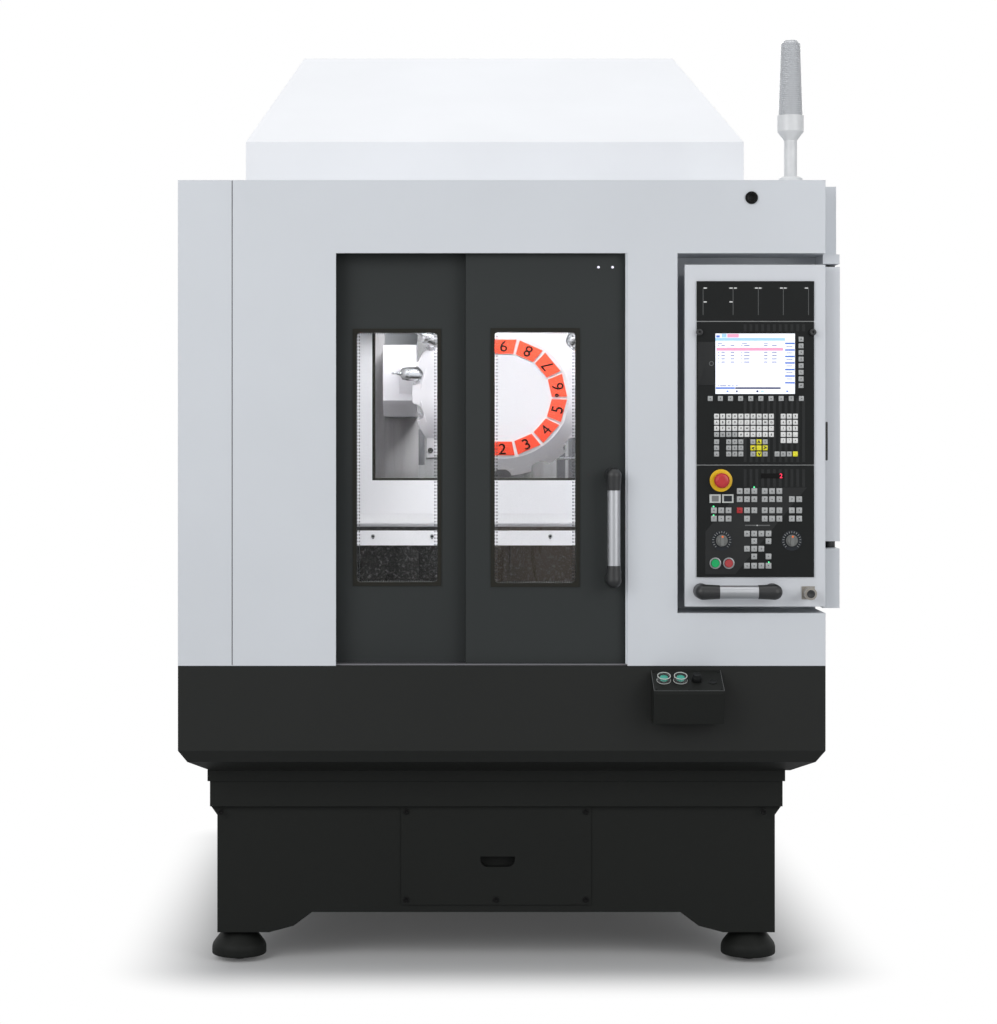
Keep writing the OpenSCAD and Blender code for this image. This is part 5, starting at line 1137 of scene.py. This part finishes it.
# %% Screw heads
HATCH, FROM_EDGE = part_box("base_access_panel"), 0.014
left, right = HATCH[0].x + FROM_EDGE, HATCH[1].x - FROM_EDGE
foot, top = HATCH[0].z + FROM_EDGE, HATCH[1].z - FROM_EDGE
others = ((right, top), (left, foot), (right, foot), ((left + right) / 2, foot))
screw((left, HATCH[0].y, top), radius=0.0075, thick=0.004)
repeat([(x - left, 0, z - top) for x, z in others])
settle("hatch_screws", "machine", dark_window)

GUARD_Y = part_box("inner_guard")[0].y
GUARD_SCREW, GUARD_PITCH, GUARD_SCREWS = (-0.369, GUARD_Y, 1.1345), 0.16, 5
along_strip = [(GUARD_PITCH * step, 0, 0) for step in range(1, GUARD_SCREWS)]
ring(GUARD_SCREW, outer=0.0058, inner=0.003, thick=0.0022, rim=0.0006, sides=24)
repeat(along_strip)
settle("guard_screws", "machine", bezel_steel)
screw(GUARD_SCREW, radius=0.003, thick=0.0006, socket=0.5, sides=12)
repeat(along_strip)
settle("guard_sockets", "machine", unit_black)

# %% [markdown]
# ## Inside the chamber
# Black strips along the left and bottom edges of the guard's window are painted shade: a dark band just
# behind the guard's plate. Behind, a sheet closes the wall beside the column, dark strips cover the
# slideways, a bolted stop ends one of them, and a coolant pipe comes from the right wall with its nozzle
# towards the tool. Shade strips, sheet, way strips and stop are plates of different thickness.

# %% Painted window-edge shade, wall sheet and slideway stop
# The two strips below are painted shade: a dark band along the window's left and bottom edges.
WINDOW_SHADE_LEFT, WINDOW_SHADE_FOOT, WINDOW_SHADE_THICK, WINDOW_SHADE_FRONT = -0.381, 1.276, 0.004, GUARD_Y + 0.003
WINDOW_SHADES = (((WINDOW_SHADE_LEFT, -0.3625), (WINDOW_SHADE_FOOT, 1.974)), ((WINDOW_SHADE_LEFT, 0.325), (WINDOW_SHADE_FOOT, 1.2925)))
WALL_X, WALL_Z, WALL_FRONT = (-0.357, -0.2505), (0.811, 1.460), 0.184
WAY_FRONT, WAY_THICK = 0.2155, 0.0015
WAYS = (((-0.2545, -0.231), (1.313, 1.425)), ((0.185, 0.2125), (1.262, 1.445)),
        ((0.2225, 0.2445), (1.262, 1.445)))
BLOCK_X, BLOCK_Z, BLOCK_FRONT, BLOCK_BOLT = (-0.2255, -0.130), (1.3365, 1.404), 0.205, (-0.213, 1.359)
# These plates paint the shade at the window's edge; they only borrow the rubber finish.
weld([plate(x, z, WINDOW_SHADE_FRONT, thick=WINDOW_SHADE_THICK, corner=0.001, rim=0.0006) for x, z in WINDOW_SHADES])
settle("window_edge_shade", "machine", gasket_rubber)
plate(WALL_X, WALL_Z, WALL_FRONT, thick=0.003, corner=0.001, rim=0.0005)
settle("wall_sheet", "machine", wall_grey)
weld([plate(x, z, WAY_FRONT, thick=WAY_THICK, corner=0.0005, rim=0.0003) for x, z in WAYS])
settle("way_strip", "machine", joint_dark)
plate(BLOCK_X, BLOCK_Z, BLOCK_FRONT, thick=0.012, corner=0.003, rim=0.001)
settle("way_stop", "machine", chamber_white)
screw((BLOCK_BOLT[0], BLOCK_FRONT, BLOCK_BOLT[1]), radius=0.0085, thick=0.004, socket=0.5)
settle("way_bolt", "machine", screw_black)

# %% [markdown]
# The pipe is rigid metal. A curve with a round profile would bend too, but a straight pipe needs only a
# cylinder: one end is drawn in to a hollow nozzle, the other is drawn out to a flange on the wall.

# %% Coolant pipe
PIPE, PIPE_ENDS, PIPE_RADIUS = (-0.25, 1.339), (0.147, 0.592), 0.005
NOZZLE, NOZZLE_DRAWN_IN, NOZZLE_WALL, NOZZLE_DEPTH = 0.012, 0.45, 0.0007, 0.008
FLANGE_FROM, FLANGE_DRAWN_OUT, FLANGE_THICK = 0.0001, 2.6, 0.0008
start_clean()
bpy.ops.mesh.primitive_cylinder_add(
    vertices=24, radius=PIPE_RADIUS, depth=PIPE_ENDS[1] - PIPE_ENDS[0], location=(sum(PIPE_ENDS) / 2, *PIPE),
    rotation=(0, math.radians(90), 0))
bpy.ops.object.transform_apply(location=True, rotation=True, scale=True)
bpy.ops.object.mode_set(mode="EDIT")
pick(lambda face: face.normal.x < -0.9)
bpy.ops.mesh.extrude_region_move(TRANSFORM_OT_translate={"value": (-NOZZLE, 0, 0)})
bpy.ops.transform.resize(
    value=(1, NOZZLE_DRAWN_IN, NOZZLE_DRAWN_IN), center_override=(PIPE_ENDS[0] - NOZZLE, *PIPE))
bpy.ops.mesh.inset(thickness=NOZZLE_WALL)
bpy.ops.mesh.extrude_region_move(TRANSFORM_OT_translate={"value": (NOZZLE_DEPTH, 0, 0)})
pick(lambda face: face.normal.x > 0.9)
bpy.ops.mesh.extrude_region_move(TRANSFORM_OT_translate={"value": (FLANGE_FROM, 0, 0)})
bpy.ops.transform.resize(
    value=(1, FLANGE_DRAWN_OUT, FLANGE_DRAWN_OUT), center_override=(PIPE_ENDS[1], *PIPE))
bpy.ops.mesh.extrude_region_move(TRANSFORM_OT_translate={"value": (FLANGE_THICK, 0, 0)})
bpy.ops.object.mode_set(mode="OBJECT")
settle("coolant_pipe", "machine", turned_steel)

# %% [markdown]
# ## The lower control box
# Both green buttons stand in clear shrouds that keep elbows off them: a foot ring, a thin wall and a rim.
# The sloped plate is held by six small screws and has one spare hole, closed with a plug. All of it is made
# facing the front and then laid on the slope.

# %% Button shrouds, plate screws and plug
BOX_LOW, BOX_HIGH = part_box("control_box")
BOX_SLOPE, SHROUDS, BUTTON_ROW, SEAT = 26.83, (0.029, 0.072), 0.04875, 0.0005
SCREWS_ACROSS, SCREWS_DOWN, BOX_PLUG = (0.0075, 0.0905, 0.1735), (0.0085, 0.089), (0.155, 0.055)
BOX = Matrix.Translation((BOX_LOW.x, FASCIA_Y, BOX_HIGH.z)) @ Matrix.Rotation(math.radians(BOX_SLOPE), 4, "X")


def on_box(x, y, height):
    return BOX @ Matrix.Translation((x, -y, height)) @ LYING


walls, rims = [], []
for x in SHROUDS:
    ring((0, -0.002, 0), outer=0.0172, inner=0.0166, thick=0.0115, rim=0.0, sides=48)
    walls.append(put(on_box(x, BUTTON_ROW, SEAT)))
    weld([ring((0, 0, 0), outer=0.0186, inner=0.0172, thick=0.0018, rim=0.0005, sides=48),
          ring((0, -0.0135, 0), outer=0.0174, inner=0.0152, thick=0.0018, rim=0.0006, sides=48)])
    rims.append(put(on_box(x, BUTTON_ROW, SEAT)))
weld(walls)
settle("shroud_walls", "machine", shroud_clear)
weld(rims)
settle("shroud_rims", "machine", lamp_clear)
heads = []
for y in SCREWS_DOWN:
    for x in SCREWS_ACROSS:
        screw((0, 0, 0), radius=0.0026, thick=0.0012, socket=0.5, sides=16)
        heads.append(put(on_box(x, y, 0)))
weld(heads)
settle("box_screws", "machine", unit_black)
screw((0, 0, 0), radius=0.011, thick=0.0016, socket=0.8, sides=40)
put(on_box(*BOX_PLUG, 0))
settle("box_plug", "machine", unit_black)

# %% [markdown]
# The plate's edges show as a thin grey line on three sides. The selector is a turned knob with a narrower,
# dished grip: a cylinder whose top face is inset, drawn up, drawn in and sunk again. It stands in for the
# plain CAD selector.

# %% Plate edge and selector knob
BOX_WIDE, BOX_LONG, EDGE, EDGE_THICK = BOX_HIGH.x - BOX_LOW.x, 0.0974, 0.0012, 0.0004
EDGES = (((0, EDGE), (-BOX_LONG, 0)), ((0, BOX_WIDE), (-BOX_LONG, EDGE - BOX_LONG)),
         ((BOX_WIDE - EDGE, BOX_WIDE), (-BOX_LONG, 0)))
KNOB_X, KNOB_RADIUS, KNOB_FOOT, KNOB_SHOULDER, KNOB_TOP = 0.114, 0.013, 0.0009, 0.0127, 0.0202
KNOB_STEP, GRIP_DRAWN_IN, GRIP_RIM, GRIP_DISH = 0.0022, 0.93, 0.0012, 0.0008
weld([plate(x, z, -EDGE_THICK, thick=EDGE_THICK, corner=0.0003) for x, z in EDGES])
put(BOX @ LYING)
settle("box_edge", "machine", line_grey)
start_clean()
bpy.ops.mesh.primitive_cylinder_add(
    vertices=48, radius=KNOB_RADIUS, depth=KNOB_SHOULDER - KNOB_FOOT,
    location=(0, 0, (KNOB_FOOT + KNOB_SHOULDER) / 2))
bpy.ops.object.transform_apply(location=True, rotation=True, scale=True)
bpy.ops.object.mode_set(mode="EDIT")
pick(lambda face: face.normal.z > 0.9)
bpy.ops.mesh.inset(thickness=KNOB_STEP)
bpy.ops.mesh.extrude_region_move(TRANSFORM_OT_translate={"value": (0, 0, KNOB_TOP - KNOB_SHOULDER)})
bpy.ops.transform.resize(value=(GRIP_DRAWN_IN, GRIP_DRAWN_IN, 1), center_override=(0, 0, KNOB_TOP))
bpy.ops.mesh.inset(thickness=GRIP_RIM)
bpy.ops.mesh.extrude_region_move(TRANSFORM_OT_translate={"value": (0, 0, -GRIP_DISH)})
bpy.ops.object.mode_set(mode="OBJECT")
round_edges(width=0.0006)
knob = put(BOX @ Matrix.Translation((KNOB_X, -BUTTON_ROW, 0)))
settle("selector_knob", "box_selector", unit_black)
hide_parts("box_selector")

# %% [markdown]
# ## Feet and bolts of the base
# A machine foot is a wide dome under a threaded stem. A cylinder round the pad is drawn in towards the leg,
# its shoulder is bevelled round, and three copies go to the other corners.

# %% Foot domes
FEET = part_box("levelling_feet")
PAD, DOME, DOME_FOOT, SHOULDER = 0.0725, 0.073, 0.0135, 0.04
LEG_AIR, DRAWN_IN, SHOULDER_ROUND = 0.0005, 0.57, 0.009
first_foot = (FEET[0].x + PAD, FEET[0].y + PAD)
start_clean()
bpy.ops.mesh.primitive_cylinder_add(
    vertices=48, radius=DOME, depth=SHOULDER - DOME_FOOT, location=(*first_foot, (DOME_FOOT + SHOULDER) / 2))
bpy.ops.object.transform_apply(location=True, rotation=True, scale=True)
bpy.ops.object.mode_set(mode="EDIT")
pick(lambda face: face.normal.z > 0.9)
bpy.ops.mesh.extrude_region_move(TRANSFORM_OT_translate={"value": (0, 0, FEET[1].z - LEG_AIR - SHOULDER)})
bpy.ops.transform.resize(value=(DRAWN_IN, DRAWN_IN, 1), center_override=(*first_foot, FEET[1].z))
pick(lambda edge: all(abs(corner.co.z - SHOULDER) < 0.0005 for corner in edge.verts), "EDGE")
bpy.ops.mesh.bevel(offset=SHOULDER_ROUND, segments=4, affect="EDGES")
bpy.ops.object.mode_set(mode="OBJECT")
round_edges(width=0.004, segments=3)
across, along = FEET[1].x - FEET[0].x - 2 * PAD, FEET[1].y - FEET[0].y - 2 * PAD
repeat([(across, 0, 0), (0, along, 0), (across, along, 0)])
settle("foot_domes", "machine", base_black)

# %% [markdown]
# Two bolts show on the front of the base frame. One is modelled and copied to the other side.

# %% Base bolts
BOLT, BOLT_STEP = (-0.7718, -0.963, 0.406), 1.4453
screw(BOLT, radius=0.0075, thick=0.005)
repeat([(BOLT_STEP, 0, 0)])
settle("base_bolts", "machine", dark_window)

# %% [markdown]
# ## Rear and sides
# The electrical cabinet breathes through two banks of louvres, pressed outwards and open below, and its
# door is shut with three quarter-turn locks. One louvre is a block with its upper outer edge pushed in and
# its underside hollowed.

# %% Louvres and locks of the cabinet door
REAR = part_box("cabinet_door")[1].y
LOUVRE, LOUVRE_X, LOUVRE_Z, SLANT, HOLLOW, WALL = (0.16, 0.006, 0.012), -0.42, 0.64, 0.0055, 0.004, 0.0007
PITCH, ROWS, COLUMN_STEP, BANK_STEP = 0.02, 8, 0.2, 1.12
LOCK_X, LOCK_HEIGHTS = -0.605, (0.80, 1.30, 1.80)
first = (LOUVRE_X, REAR + LOUVRE[1] / 2, LOUVRE_Z)
start_clean()
bpy.ops.mesh.primitive_cube_add(size=1, location=first)
bpy.ops.transform.resize(value=LOUVRE)
bpy.ops.object.transform_apply(location=True, rotation=True, scale=True)
bpy.ops.object.mode_set(mode="EDIT")
pick(lambda edge: runs_along(edge, 0) and all(v.co.y > first[1] and v.co.z > first[2] for v in edge.verts),
     "EDGE")
bpy.ops.transform.translate(value=(0, -SLANT, 0))
pick(lambda face: face.normal.z < -0.9)
bpy.ops.mesh.inset(thickness=WALL)
bpy.ops.mesh.extrude_region_move(TRANSFORM_OT_translate={"value": (0, 0, HOLLOW)})
bpy.ops.object.mode_set(mode="OBJECT")
repeat([(column * COLUMN_STEP, 0, bank * BANK_STEP + row * PITCH)
        for bank in range(2) for column in range(4) for row in range(ROWS) if bank + column + row])
settle("cabinet_louvres", "cabinet_door", panel_grey, 20)
locks = []
for z in LOCK_HEIGHTS:
    weld([screw((0, 0, 0), radius=0.0135, thick=0.003, socket=0.7, sides=40),
          plate((-0.0018, 0.0018), (-0.0085, 0.0085), -0.0028, thick=0.0014, corner=0.0008)])
    locks.append(put(Matrix.Translation((LOCK_X, REAR, z)) @ FACING_REAR))
weld(locks)
settle("cabinet_locks", "cabinet_door", nickel)

# %% [markdown]
# The main switch stands in a yellow ring, so that it can be found in a hurry. The ring is made facing the
# front and then turned to the right.

# %% Switch ring
SWITCH = (0.584, 0.937, 1.5)
ring((0, 0, 0), outer=0.050, inner=0.0365, thick=0.0012, rim=0.0004, sides=64)
put(Matrix.Translation(SWITCH) @ FACING_RIGHT)
settle("switch_ring", "machine", ring_yellow)

# %% [markdown]
# On both sides a service sheet is let into the side panel: a joint line all round and screws near its edge.
# The joint is four thin dark plates, so the CAD panel needs no cut.

# %% Service sheets on both sides
SHEET_Y, SHEET_Z, LINE, LINE_THICK = (-0.50, 0.46), (0.93, 1.95), 0.0022, 0.0003
SCREWS_Y, SCREWS_Z = (-0.47, -0.16, 0.12, 0.43), (0.96, 1.92)
left_x, right_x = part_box("corner_panel")[0].x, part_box("splash_tray")[1].x
frames, heads = [], []
for side, turn, sign_y in ((right_x, FACING_RIGHT, 1), (left_x, FACING_LEFT, -1)):
    span = sorted(sign_y * y for y in SHEET_Y)
    for x, z in (((span[0], span[0] + LINE), SHEET_Z), ((span[1] - LINE, span[1]), SHEET_Z),
                 (span, (SHEET_Z[0], SHEET_Z[0] + LINE)), (span, (SHEET_Z[1] - LINE, SHEET_Z[1]))):
        plate(x, z, -LINE_THICK, thick=LINE_THICK, corner=0.0004)
        frames.append(put(Matrix.Translation((side, 0, 0)) @ turn))
    for y in SCREWS_Y:
        for z in SCREWS_Z:
            screw((0, 0, 0), radius=0.0065, thick=0.0028, socket=0.5, sides=20)
            heads.append(put(Matrix.Translation((side, y, z)) @ turn))
weld(frames)
settle("sheet_joints", "machine", joint_dark)
weld(heads)
settle("sheet_screws", "machine", turned_steel)

# %% [markdown]
# ## Gaps, sleeves and socket of the operator panel
# A grey strip shows in the dark gaps between the units. Black sleeves cover the hinge collars above and
# below the wing. A black disc at the data socket's front is painted shade for its bore.

# %% Unit gaps, hinge sleeves and socket
UNIT_SPAN = (UNIT_X, DISPLAY[1].x)
GAPS, GAP_WIDE, GAP_FRONT = (1.3300, 1.7035), 0.0022, FASCIA_Y - 0.0005
SHADOWS, SHADOW_WIDE, SHADOW_FRONT = (1.329, 1.703), 0.004, FASCIA_Y - 0.0002
HINGE, SLEEVES = (0.840, -1.003), ((1.1125, 1.1305), (1.8495, 1.8565))
weld([plate(UNIT_SPAN, (z, z + GAP_WIDE), GAP_FRONT, thick=0.001, corner=0.0005) for z in GAPS])
settle("unit_gaps", "operator_panel", key_grey)
weld([plate(UNIT_SPAN, (z, z + SHADOW_WIDE), SHADOW_FRONT, thick=0.0007, corner=0.0005) for z in SHADOWS])
settle("gap_shadows", "operator_panel", unit_black)
sleeves = []
for low, high in SLEEVES:
    ring((0, 0, 0), outer=0.0169, inner=0.0161, thick=high - low, rim=0.0003, sides=40)
    sleeves.append(put(Matrix.Translation((*HINGE, low)) @ LYING))
weld(sleeves)
settle("hinge_sleeves", "machine", black_plastic)
socket_x, socket_z = middle_of("data_socket")
# A black disc paints the shade inside the data socket's bore.
screw((socket_x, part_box("data_socket")[0].y, socket_z), radius=0.0105, thick=0.0012, socket=0.62, sides=32)
settle("socket_bore_shade", "operator_panel", black_plastic)

# %% [markdown]
# ## End of the dressing

# %% End of the dressing
print("dressing done")
